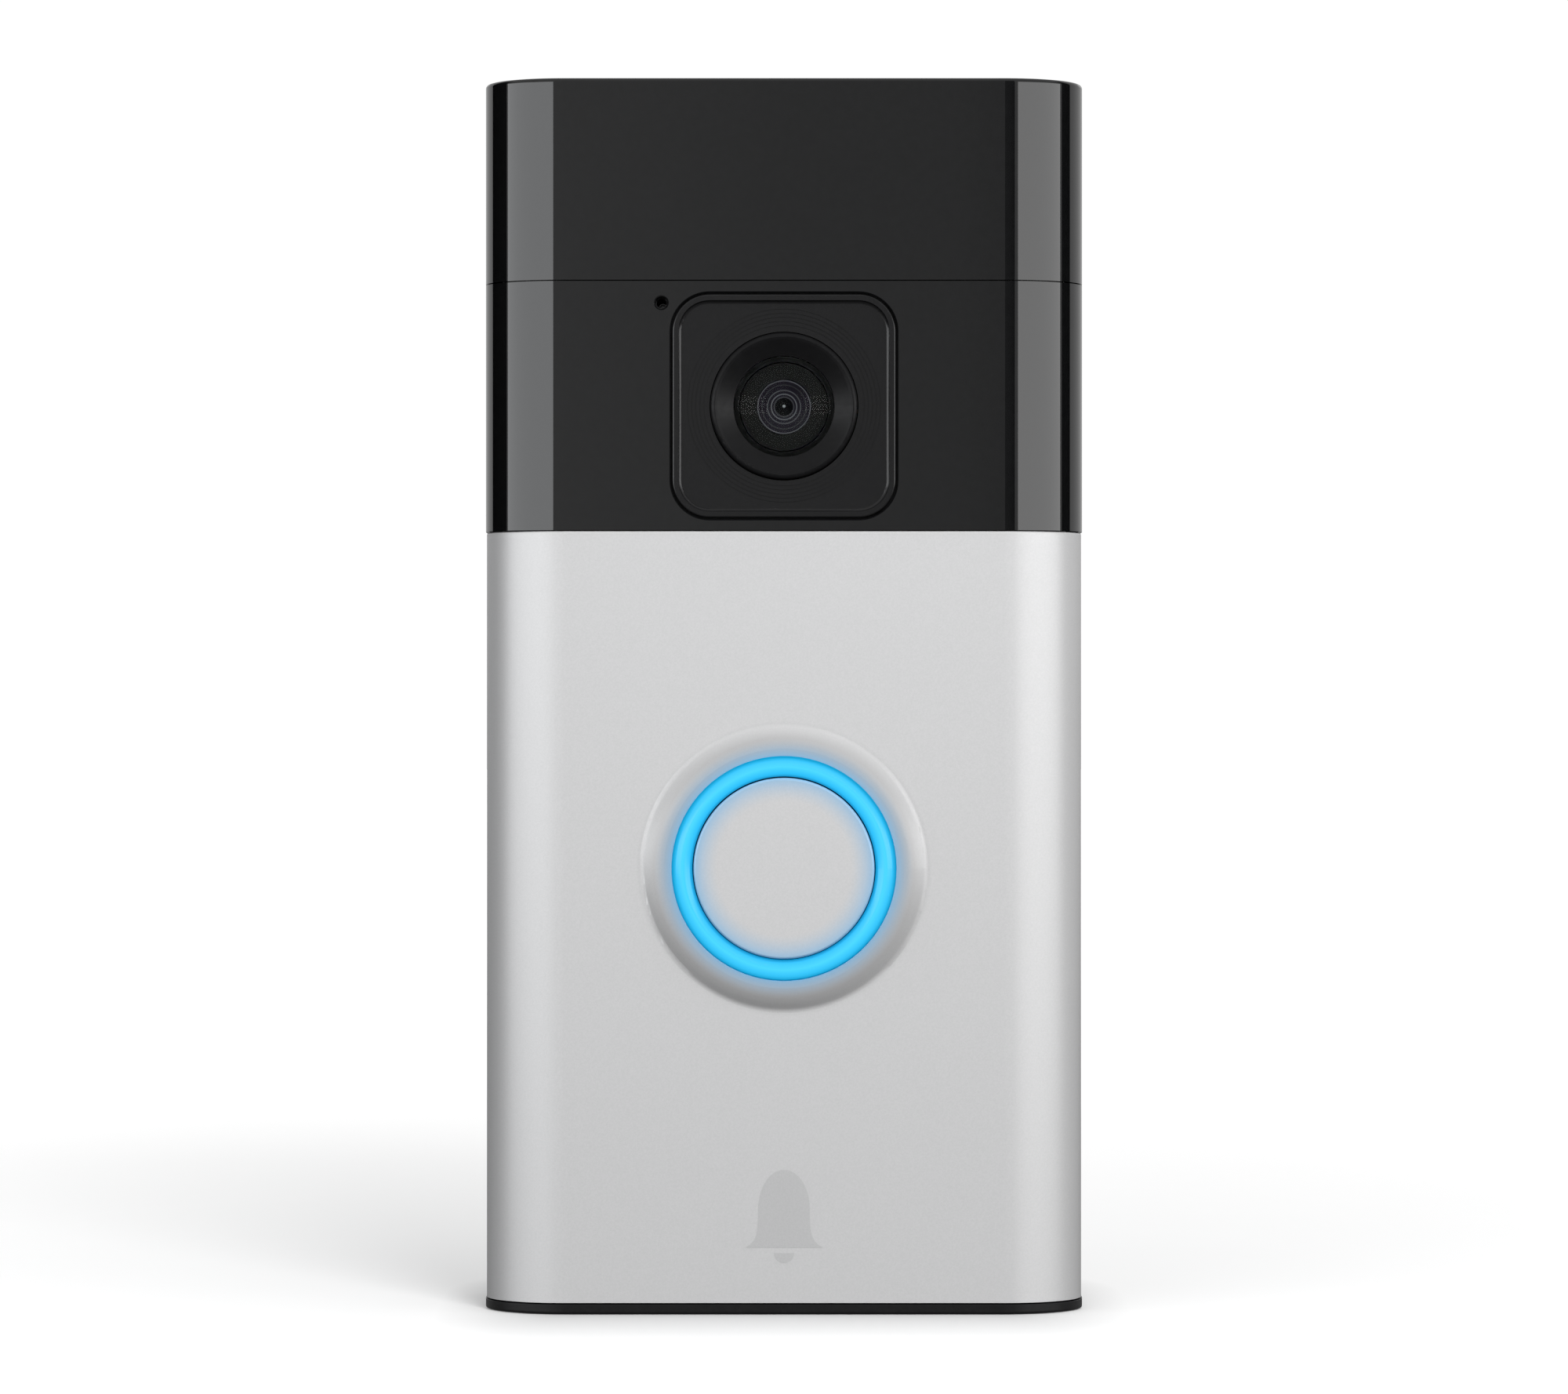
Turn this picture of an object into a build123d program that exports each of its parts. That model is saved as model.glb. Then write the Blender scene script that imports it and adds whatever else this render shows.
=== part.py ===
from build123d import *

import os
from math import acos, degrees

# Battery video doorbell with its wall bracket, in millimetres.
# +Z is up, the front faces -Y, and +X is to the right of someone looking at the front.
# The origin is under the middle of the object, on the plane that it stands on.

# ---------------------------------------------------------------- driving dimensions
WIDTH = 62.0
HEIGHT = 127.0
WALL_Y = 14.0  # the wall, and the back of the bracket
FRONT_Y = -13.0  # flat front of the black covers
CORNER_R = 8.3  # front corners, seen from above
CLEARANCE = 0.1  # between neighbouring pieces

# shells, measured inwards from the outline of the black covers
COVER_WALL = 1.6
TOP_FILLET = 0.4
SEAM_FILLET = 0.2
OPENING_CHAMFER = 0.12
BASE_FILLET = 0.25
FACE_INSET = 0.1
FACE_WALL = 1.4
FRAME_INSET = 1.75
FRAME_WALL = 1.4
INNER_INSET = FRAME_INSET + FRAME_WALL

# heights of the bands on the front
BASE_H = 1.0
BASE_FLOOR_Z = 2.0
FACE_BOTTOM_Z = 1.15
FACE_TOP_Z = 80.45
CAMERA_BOTTOM_Z = 80.55
CAMERA_TOP_Z = 106.14
TOP_BOTTOM_Z = 106.26
FRAME_TOP_Z = HEIGHT - COVER_WALL - 0.2
FRAME_ROOF_Z = FRAME_TOP_Z - FRAME_WALL

# depths, front to back
FACE_Y = FRONT_Y + FACE_INSET
FRAME_FRONT_Y = FRONT_Y + FRAME_INSET
FRAME_INNER_Y = FRONT_Y + INNER_INSET
FRAME_BACK_Y = 6.6
COVER_BACK_Y = 6.85
REAR_FRONT_Y = 7.0
FLOOR_FRONT_Y = 8.6
FLOOR_BACK_Y = 10.4
RIM_Y = 13.4
POCKET_HALF = 28.0
POCKET_BOTTOM_Z = 3.0
POCKET_TOP_Z = 124.0
POCKET_R = 3.0
REAR_CORNER_R = 2.5
REAR_FILLET = 0.8
RELIEF_Z = 119.0  # above this the rim slopes away from the wall
RELIEF_DEPTH = 0.8
SEAL_BOTTOM_Z = 0.6

# push button and its lit ring
RING_Z = 45.8
RING_OUT_R = 11.4
RING_IN_R = 9.45
RING_CREST_Y = -14.0
RING_SHOULDER_Y = -13.45
RING_FLANGE_R = 12.8
RING_FLANGE_Y = -9.55
RING_BACK_Y = -8.9
FACE_HOLE_R = 11.55
FRAME_HOLE_R = 11.6
MOUND_H = 1.0
MOUND_CREST_R = 12.3
MOUND_CONVEX_R = 3.0
MOUND_CONCAVE_R = 0.8
BUTTON_R = 9.3
BUTTON_Y = -13.85
BUTTON_WALL = 1.2
BUTTON_FILLET = 0.25
BUTTON_FLANGE_R = 9.9
BUTTON_FLANGE_Y = -8.75
BUTTON_BACK_Y = -8.25
SEAL_GROOVE = (1.2, 0.8)
SEAL_Y = -11.8
SEAL_R = 9.08
SEAL_SECTION_R = 0.35
RING_GASKET_GAP = 0.3
POST_R = 2.2
PLUNGER_R = 1.6
PLUNGER_FRONT_Y = -10.4
PLUNGER_IN = 0.4  # inside the switch when it is not pressed
SWITCH_FRONT_Y = -9.2
SWITCH_SIDE = 6.0
SWITCH_CHAMFER = 0.5
SWITCH_WELL = 1.0
RING_LAMP_R = 11.1
RING_LAMP_COUNT = 12
RING_LAMP_SIDE = 1.4
RING_LAMP_H = 0.8

# camera
CAMERA_Z = 93.3
BEZEL_SIDE = 22.9
BEZEL_R = 3.8
BEZEL_GAP = 0.2
BEZEL_RIM = 0.6
BEZEL_RIM_FILLET = 0.15
BEZEL_FLOOR_FILLET = 0.35
BEZEL_FRONT_Y = FRONT_Y - 0.1
BEZEL_FLOOR_Y = -12.6
BEZEL_BACK_Y = FRAME_FRONT_Y - CLEARANCE / 2
BEZEL_BORE_R = 7.65
BEZEL_TUBE_R = 8.6
BEZEL_TUBE_BACK_Y = -8.8
CAMERA_HOLE_R = 8.8
GROOVES_FROM_R = 8.25
GROOVE_PITCH = 0.42
GROOVE_COUNT = 5
GROOVE_WIDTH = 0.12
GROOVE_DEPTH = 0.08
LENS_RING_R = 7.55
LENS_RING_BORE_R = 5.2
LENS_RING_BACK_Y = -9.0
LENS_RING_CREST_Y = -13.25
LENS_RING_CONE_Y = -12.3
LENS_RING_CONE_TOP = 0.7  # in from the outside of the ring
LENS_RING_CONE_DROP = 0.08  # behind the crest
LENS_RING_LAND = 0.45
LENS_RING_ROUND = 0.45
LENS_LEDGE_R = 4.6
LENS_LEDGE_Y = -10.9
WINDOW_R = 5.15
WINDOW_EDGE_Y = -11.8
WINDOW_CREST_Y = -13.0
WINDOW_THICKNESS = 0.8
BARREL_R = 4.5
BARREL_FRONT_Y = -10.6
BARREL_BACK_Y = -4.6
FRONT_LENS_R = 2.8
FRONT_LENS_Y = (-10.85, -9.9)
FRONT_LENS_DOME = 0.5
INNER_LENS_R = 1.65
INNER_LENS_Y = (-9.5, -8.4)
INNER_LENS_DOME = 0.3
SPACER_R = 1.8
SPACER_Y = (-9.7, -9.1)
# bores of the barrel from front to back: radius and where each one ends
BARREL_BORES = [(2.85, -9.05), (1.7, -8.2), (0.9, -7.6), (2.35, BARREL_BACK_Y)]
HOLDER_SIDE = 13.0
HOLDER_FRONT_Y = -7.0
HOLDER_HOLLOW = (9.4, 1.6)
SENSOR_CHIP = (7.0, 5.6, 1.0)
SENSOR_DISH = (6.0, 4.6, 0.1)
MICROPHONE_X = -12.6
MICROPHONE_Z = 103.9
MICROPHONE_PLACE = [(MICROPHONE_X, MICROPHONE_Z)]
MICROPHONE_HOLE_R = 0.65
MICROPHONE_CHIP = (3.8, 2.9, 1.0)
MICROPHONE_CHIP_DROP = 0.4
MICROPHONE_PORT = (0.35, 0.5)
BOOT_R = 1.6
BOOT_BORE_R = 0.5
LAMP_X = 19.0
LAMP_PLACES = [(-LAMP_X, CAMERA_Z), (LAMP_X, CAMERA_Z)]
LAMP_R = 2.5
LAMP_GAP = 0.3
LAMP_BASE = (LAMP_R + 0.4, 1.0)
LAMP_BARREL_H = 5.0
LAMP_DOME = (1.9, 35)  # height and slope

# motion sensing
MOTION_Z = 116.0
MOTION_W = 40.0
MOTION_H = 14.0
MOTION_GAP = 0.2
MOTION_T = 0.8
FACET_PITCH = 4.0
FACET_W = 3.4
FACET_H = 0.2
FACET_COUNT = 10
FACET_MARGIN = 0.5  # above and below the facets
SENSOR_X = 9.0
SENSOR_R = 4.6
SENSOR_FLANGE = (SENSOR_R + 0.5, 0.6)
SENSOR_H = 4.2
SENSOR_WINDOW = (4.4, 3.2, 0.3)
SENSOR_DROP = 0.5  # below the middle of the motion lens

# circuit boards
BOARD_T = 1.0
BOARD_CHAMFER = 1.0
MAIN_BACK_Y = -6.6
MAIN_HALF = 21.5
MAIN_BOTTOM_Z = 14.0
MAIN_TOP_Z = 78.0
MAIN_R = 2.0
MAIN_SCREWS = [(x, z) for x in (-18.0, 18.0) for z in (18.0, 74.0)]
BOARD_HOLE_R = 0.9
STANDOFF_R = 2.2
STANDOFF_BORE_R = 0.82
SHIELD_H = 1.5
SHIELD_WALL = 0.3
SHIELD_CHAMFER = 0.25
PROCESSOR_SHIELD = (-7.0, 58.0, 20.0, 18.0)  # middle, then width and height
RADIO_SHIELD = (11.5, 62.0, 13.0, 12.0)
AERIAL_Y = (-4.5, 5.0)
AERIAL_Z = (85.0, 105.0)
AERIAL_T = 0.3
CAMERA_BOARD_BACK_Y = -1.4
CAMERA_BOARD_HALF = 21.5
CAMERA_BOARD_Z = (82.0, 105.5)
SENSOR_BOARD_Z = (108.0, 122.5)
POWER_FRONT_Y = 4.0
POWER_BACK_Y = POWER_FRONT_Y + BOARD_T
POWER_HALF = 18.0
POWER_R = 1.5
POWER_Z = (75.5, 103.5)
POWER_SCREWS = [(-15.0, 101.0), (15.0, 101.0)]
RIBBON_W = 8.0
RIBBON_T = 0.2
SENSOR_FLEX_BEND = 0.5
CAMERA_FLEX_X = -8.0
CAMERA_FLEX_BEND = 0.6
POWER_FLEX_X = 9.0
POWER_FLEX_BEND = 0.6
WIRE_R = 0.5
WIRE_GAP = 1.6
AERIAL_LEAD_BENDS = [1.6, 2.5, 1.2]
BATTERY_LEAD_BEND = 1.4
SPEAKER_LEAD_BEND = 1.2
PLUG = (5.0, 3.6, 2.0)
PLUG_X = 12.0
PLUG_Z = 17.0
PLUG_CHAMFER = 0.3

# battery
BATTERY_W = 41.0
BATTERY_FRONT_Y = -4.6
BATTERY_BACK_Y = 8.2
BATTERY_BOTTOM_Z = 20.0
BATTERY_TOP_Z = 75.0
BATTERY_FILLET = 2.5
BATTERY_LEAD_Y = 0.5

# speaker, which faces down through slots in the base
SPEAKER_Y = -2.0
SPEAKER_W = 34.0
SPEAKER_D = 12.0
SPEAKER_OPEN_W = 30.0
SPEAKER_OPEN_D = 8.0
MESH_TOP_Z = BASE_FLOOR_Z + 0.2
GASKET_TOP_Z = MESH_TOP_Z + 0.8
SPEAKER_TOP_Z = GASKET_TOP_Z + 5.0
SPEAKER_R = 1.5
SPEAKER_STEP_Z = GASKET_TOP_Z + 2.4  # between the cone's room and the magnet's
MAGNET_POCKET = (16.0, 7.0, 2.6)
MAGNET = (15.6, 6.6, 3.4)
CONE_Z = GASKET_TOP_Z + 0.6
CONE_T = 0.3
CONE_GAP = 0.2
CONE_DISH = (16.0, 5.0, 0.5, 30)  # length, width, depth and slope
SLOT_PITCH = 2.6
SLOT_COUNT = 9
SLOT_W = 1.2
SLOT_L = 7.0

# back face: charging port, setup button and terminals
PORT_X = -6.0
PORT_Z = 97.0
PORT_W = 8.94
PORT_H = 3.26
PORT_WALL = 0.3
PORT_DEPTH = 4.4
PORT_TONGUE = (6.7, 0.7)
PORT_TONGUE_SHORT = 0.5  # behind the mouth
PORT_INSET = 0.1
PORT_SEAL_W = 10.2
PORT_SEAL_H = 4.5
SETUP_X = 8.0
SETUP_Z = 97.0
SETUP_R = 2.5
SETUP_FLANGE_R = 3.2
SETUP_PLUNGER_R = 1.5
SETUP_PLUNGER_BACK_Y = 8.0
SETUP_SWITCH_BACK_Y = 7.0
SETUP_CAP_Y = 10.9
SETUP_FILLET = 0.3
SETUP_FLANGE_T = 0.5
SETUP_GAP = 0.12
SETUP_SWITCH_WELL = 1.4
SETUP_PLUNGER_IN = 0.8
TERMINALS = [(-7.5, 79.5), (7.5, 79.5)]
TERMINAL_PLATE = 7.5
TERMINAL_PLATE_T = 0.8
TERMINAL_SHANK_R = 1.5
TERMINAL_PLATE_R = 0.6
TERMINAL_GAP = 0.1
NUT_R = 2.75
NUT_GAP = 0.02

# screws that hold the two halves of the housing together
HOUSING_SCREWS = [(x, z) for x in (-24.2, 24.2) for z in (7.5, 62.0, 119.5)]
BOSS_R = 2.2
BOSS_BORE_R = 1.12
BOSS_BACK_Y = FLOOR_FRONT_Y - CLEARANCE
BOSS_TIE = (2.2, 1.2)
BOSS_TIE_X = 27.0
BOSS_TIE_Y = -7.0
HOUSING_HOLE_R = 1.3
HOUSING_HEAD_R = 2.25
HOUSING_SEAT_Y = 9.2

# screws: head radius and height, then shank radius and length
HOUSING_SCREW = (2.0, 1.0, 1.1, 7.0)
BOARD_SCREW = (1.6, 0.9, 0.8, 2.8)
TERMINAL_SCREW = (3.0, 1.6, TERMINAL_SHANK_R, 5.8)
CROSS_LENGTH = 1.2  # of the recess, as a share of the head's radius
CROSS_WIDTH = 0.28
CROSS_DEPTH = 0.5  # as a share of the head's height

# wall bracket and the hinge line of its hooks
BRACKET_FRONT_Y = 11.6
BRACKET_W = 43.0
BRACKET_Z = (6.5, 116.5)
BRACKET_R = 6.0
BRACKET_CHAMFER = 0.5
BRACKET_WINDOW_R = 2.5
HOOK_X = 14.0
HOOK_W = 6.0
HOOK_SIDE_GAP = 0.3
HOOK_ARM_Z = (112.6, 114.2)
HOOK_ARM_FRONT = 0.9  # ahead of the hinge line
HOOK_ARM_ROOT = 0.5  # into the plate
HINGE_Y = 8.0
HINGE_Z = 115.0
BEAD_R = 1.2
BEAD_GAP = 0.06
SEAT_BLOCK = (HOOK_W + 4.0, 3.0, 5.8)  # width, height and front of the block over each hook
SEAT_POCKET = (4.5, 5.0)  # height below the hinge line, and front
WALL_HOLE_X = 32.0
WALL_HOLE_Z = 93.0
WALL_HOLE_R = 2.2
WALL_SINK_R = 3.7
WALL_SINK_ANGLE = 90
WIRE_WINDOW = (30.0, 28.0, 89.0)  # width, height, middle height
LOWER_WINDOW = (26.0, 36.0, 44.0)

# release latch, drawn in its released place
LATCH_W = 8.0
LATCH_Z = (5.2, 13.0)
LATCH_FRONT_Y = 7.7
LATCH_BLOCK_BACK_Y = 10.2
LATCH_FLANGE = 1.2  # wider on each side, inside the housing
LATCH_GAP = 0.1
TOOTH_W = 6.0
TOOTH_BACK_Y = 13.4
ARM_Z = (11.6, 13.0)
TIP_Z = (10.4, 12.6)
TIP_T = 0.9
LATCH_WINDOW_Z = (3.0, 15.0)
SPRING_SLOT = (2.6, 15.0, 20.0)  # width, then bottom and top
SPRING_W = 2.2
SPRING_BEND_R = 0.8
SPRING_ROUTE = [(9.4, 13.0), (8.9, 14.6), (10.0, 17.2), (9.4, 19.8)]  # depth and height
LATCH_SLOT_W = 9.0  # in the bracket
LATCH_SLOT_Z = (9.4, 15.5)
BAR_Z = (7.0, 9.4)  # the latch's tip catches behind this bar
BAR_T = 0.7
PIN_Y = 9.3
PIN_R = 0.9


# ---------------------------------------------------------------- shared helpers
def front_plane(y):
    """Elevation plane at depth y: local x is X, local y is Z, and its normal faces the front."""
    return Plane.XZ.offset(-y)


def radius_plane(x, z):
    """Plan plane through a round feature's centre line: local x is its radius, local y is Y."""
    return Plane((x, 0, z))


def depth_axis(x, z):
    """Line along Y through a point of the elevation."""
    return Axis((x, 0, z), (0, 1, 0))


def centre(z_range):
    return sum(z_range) / 2


def span(z_range):
    return z_range[1] - z_range[0]


def plan_outline(inset, back_y, mode=Mode.ADD):
    """Plan section of a shell: flat front, two round front corners and straight sides."""
    half = WIDTH / 2 - inset
    front = FRONT_Y + inset
    with BuildLine() as outline:
        FilletPolyline(
            (-half, back_y), (-half, front), (half, front), (half, back_y), radius=CORNER_R - inset
        )
        Line((half, back_y), (-half, back_y))
    make_face(outline.edges(), mode=mode)


def board(half_width, z_range, front_y, back_y):
    """Circuit board with clipped corners."""
    with BuildPart() as panel:
        block(0, centre(z_range), 2 * half_width, span(z_range), front_y, back_y)
        chamfer(panel.edges().filter_by(Axis.Y), BOARD_CHAMFER)
    return panel


def wrap_shell(bottom_z, top_z, inset, wall, back_y):
    """U-shaped wall, open at the back, standing from bottom_z to top_z."""
    with BuildSketch(Plane.XY.offset(bottom_z)) as plan:
        plan_outline(inset, back_y)
        plan_outline(inset + wall, back_y, mode=Mode.SUBTRACT)
    extrude(plan.sketch, amount=top_z - bottom_z)


def block(x, z, width, height, front_y, back_y, mode=Mode.ADD):
    """Rectangular block centred on (x, z) in elevation, between two depths."""
    with BuildSketch(front_plane(back_y)) as profile:
        with Locations((x, z)):
            Rectangle(width, height)
    extrude(profile.sketch, amount=back_y - front_y, mode=mode)


def discs(places, radius, front_y, back_y, mode=Mode.ADD):
    """Round bosses or holes along Y at each (x, z), between two depths."""
    with BuildSketch(front_plane(back_y)) as profile:
        with Locations(*places):
            Circle(radius)
    extrude(profile.sketch, amount=back_y - front_y, mode=mode)


def screws(places, seat_y, heads, size):
    """Cross-head screws along Y; heads is +1 where they face the back and -1 where they face the front."""
    head_r, head_h, shank_r, shank_l = size
    with BuildPart() as group:
        with BuildSketch(front_plane(seat_y)):
            with Locations(*places):
                Circle(head_r)
        extrude(amount=-heads * head_h)
        with BuildSketch(front_plane(seat_y)):
            with Locations(*places):
                Circle(shank_r)
        extrude(amount=heads * shank_l)
        with BuildSketch(front_plane(seat_y + heads * head_h)):
            with Locations(*places):
                Rectangle(head_r * CROSS_LENGTH, head_r * CROSS_WIDTH)
                Rectangle(head_r * CROSS_WIDTH, head_r * CROSS_LENGTH)
        extrude(amount=heads * head_h * CROSS_DEPTH, mode=Mode.SUBTRACT)
    return group


def ribbon(x, points, radius):
    """Flat flexible lead that bends in the YZ plane through points (y, z)."""
    with BuildPart() as lead:
        with BuildLine() as path:
            FilletPolyline(*[(x, y, z) for y, z in points], radius=radius)
        with BuildSketch(Plane(path.line @ 0, x_dir=(1, 0, 0), z_dir=path.line % 0)):
            Rectangle(RIBBON_W, RIBBON_T)
        sweep(path=path.line)
    return lead


def wire(points, radii, wire_r):
    """One insulated wire along straight runs joined by tangent arcs."""
    with BuildPart() as lead:
        with BuildLine() as path:
            FilletPolyline(*points, radius=radii)
        with BuildSketch(Plane(path.line @ 0, z_dir=path.line % 0)):
            Circle(wire_r)
        sweep(path=path.line)
    return lead


def wire_pair(x, points, radii):
    """Two parallel wires, side by side in X, through points (y, z)."""
    pair = [
        wire([(x + side * WIRE_GAP / 2, y, z) for y, z in points], radii, WIRE_R) for side in (-1, 1)
    ]
    with BuildPart() as lead:
        for strand in pair:
            add(strand.part)
    return lead


# ---------------------------------------------------------------- outer shells
with BuildPart() as faceplate:
    wrap_shell(FACE_BOTTOM_Z, FACE_TOP_Z, FACE_INSET, FACE_WALL, COVER_BACK_Y)
    slope = degrees(acos(1 - MOUND_H / (MOUND_CONVEX_R + MOUND_CONCAVE_R)))
    with BuildSketch(radius_plane(0, RING_Z)):
        with BuildLine():
            crest = Line((FACE_HOLE_R, FACE_Y - MOUND_H), (MOUND_CREST_R, FACE_Y - MOUND_H))
            convex = JernArc(crest @ 1, crest % 1, MOUND_CONVEX_R, slope)
            foot = JernArc(convex @ 1, convex % 1, MOUND_CONCAVE_R, -slope)
            Polyline(
                foot @ 1,
                (foot @ 1) + Vector(0, FACE_WALL / 2),
                (FACE_HOLE_R, FACE_Y + FACE_WALL / 2),
                crest @ 0,
            )
        make_face()
    revolve(axis=depth_axis(0, RING_Z))
    discs([(0, RING_Z)], FACE_HOLE_R, RING_CREST_Y, FRAME_FRONT_Y, mode=Mode.SUBTRACT)
    fillet(faceplate.faces().sort_by(Axis.Z)[-1].edges(), SEAM_FILLET)

with BuildPart() as camera_cover:
    wrap_shell(CAMERA_BOTTOM_Z, CAMERA_TOP_Z, 0, COVER_WALL, COVER_BACK_Y)
    with BuildSketch(front_plane(FRAME_FRONT_Y)):
        with Locations((0, CAMERA_Z)):
            RectangleRounded(
                BEZEL_SIDE + 2 * BEZEL_GAP, BEZEL_SIDE + 2 * BEZEL_GAP, BEZEL_R + BEZEL_GAP
            )
    extrude(amount=FRAME_FRONT_Y - FRONT_Y, mode=Mode.SUBTRACT)
    discs(MICROPHONE_PLACE, MICROPHONE_HOLE_R, FRONT_Y, FRAME_FRONT_Y, mode=Mode.SUBTRACT)
    front_face = camera_cover.faces().filter_by(Axis.Y).sort_by(Axis.Y)[0]
    chamfer(front_face.inner_wires().edges(), OPENING_CHAMFER)

with BuildPart() as top_cover:
    wrap_shell(TOP_BOTTOM_Z, HEIGHT - COVER_WALL, 0, COVER_WALL, COVER_BACK_Y)
    with BuildSketch(Plane.XY.offset(HEIGHT - COVER_WALL)):
        plan_outline(0, COVER_BACK_Y)
    extrude(amount=COVER_WALL)
    top_face = top_cover.faces().sort_by(Axis.Z)[-1]
    fillet(top_face.edges().sort_by(Axis.Y)[:-1], TOP_FILLET)

# ---------------------------------------------------------------- front frame
with BuildPart() as front_frame:
    with BuildSketch(Plane.XY):
        plan_outline(FRAME_INSET, FRAME_BACK_Y)
    extrude(amount=FRAME_TOP_Z)
    with BuildSketch(Plane.XY.offset(BASE_FLOOR_Z)):
        plan_outline(INNER_INSET, FRAME_BACK_Y)
    extrude(amount=FRAME_ROOF_Z - BASE_FLOOR_Z, mode=Mode.SUBTRACT)
    with BuildSketch(Plane.XY):
        plan_outline(0, FRAME_BACK_Y)
    extrude(amount=BASE_H)
    # windows in the front wall
    motion_w = MOTION_W + 2 * MOTION_GAP
    motion_h = MOTION_H + 2 * MOTION_GAP
    block(0, MOTION_Z, motion_w, motion_h, FRONT_Y, FRAME_INNER_Y, mode=Mode.SUBTRACT)
    for hole_places, hole_r in (
        ([(0, CAMERA_Z)], CAMERA_HOLE_R),
        ([(0, RING_Z)], FRAME_HOLE_R),
        (LAMP_PLACES, LAMP_R + LAMP_GAP),
        (MICROPHONE_PLACE, BOOT_R + CLEARANCE),
    ):
        discs(hole_places, hole_r, FRONT_Y, FRAME_INNER_Y, mode=Mode.SUBTRACT)
    # sound slots in the base
    with BuildSketch(Plane.XY):
        with Locations((0, SPEAKER_Y)):
            with GridLocations(SLOT_PITCH, 1, SLOT_COUNT, 1):
                SlotOverall(SLOT_L, SLOT_W, rotation=90)
    extrude(amount=BASE_FLOOR_Z, mode=Mode.SUBTRACT)
    # bosses for the housing screws, each tied to the side wall
    discs(HOUSING_SCREWS, BOSS_R, FRAME_INNER_Y, BOSS_BACK_Y)
    for boss_x, boss_z in HOUSING_SCREWS:
        tie_x = BOSS_TIE_X if boss_x > 0 else -BOSS_TIE_X
        block(tie_x, boss_z, *BOSS_TIE, BOSS_TIE_Y, FRAME_BACK_Y)
    discs(HOUSING_SCREWS, BOSS_BORE_R, 0, BOSS_BACK_Y, mode=Mode.SUBTRACT)
    # standoffs for the main board
    discs(MAIN_SCREWS, STANDOFF_R, FRAME_INNER_Y, MAIN_BACK_Y - BOARD_T)
    discs(MAIN_SCREWS, STANDOFF_BORE_R, FRAME_INNER_Y, MAIN_BACK_Y - BOARD_T, mode=Mode.SUBTRACT)
    base_rim = front_frame.faces().sort_by(Axis.Z)[0].outer_wire().edges()
    fillet(base_rim.sort_by(Axis.Y)[:-1], BASE_FILLET)

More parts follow.
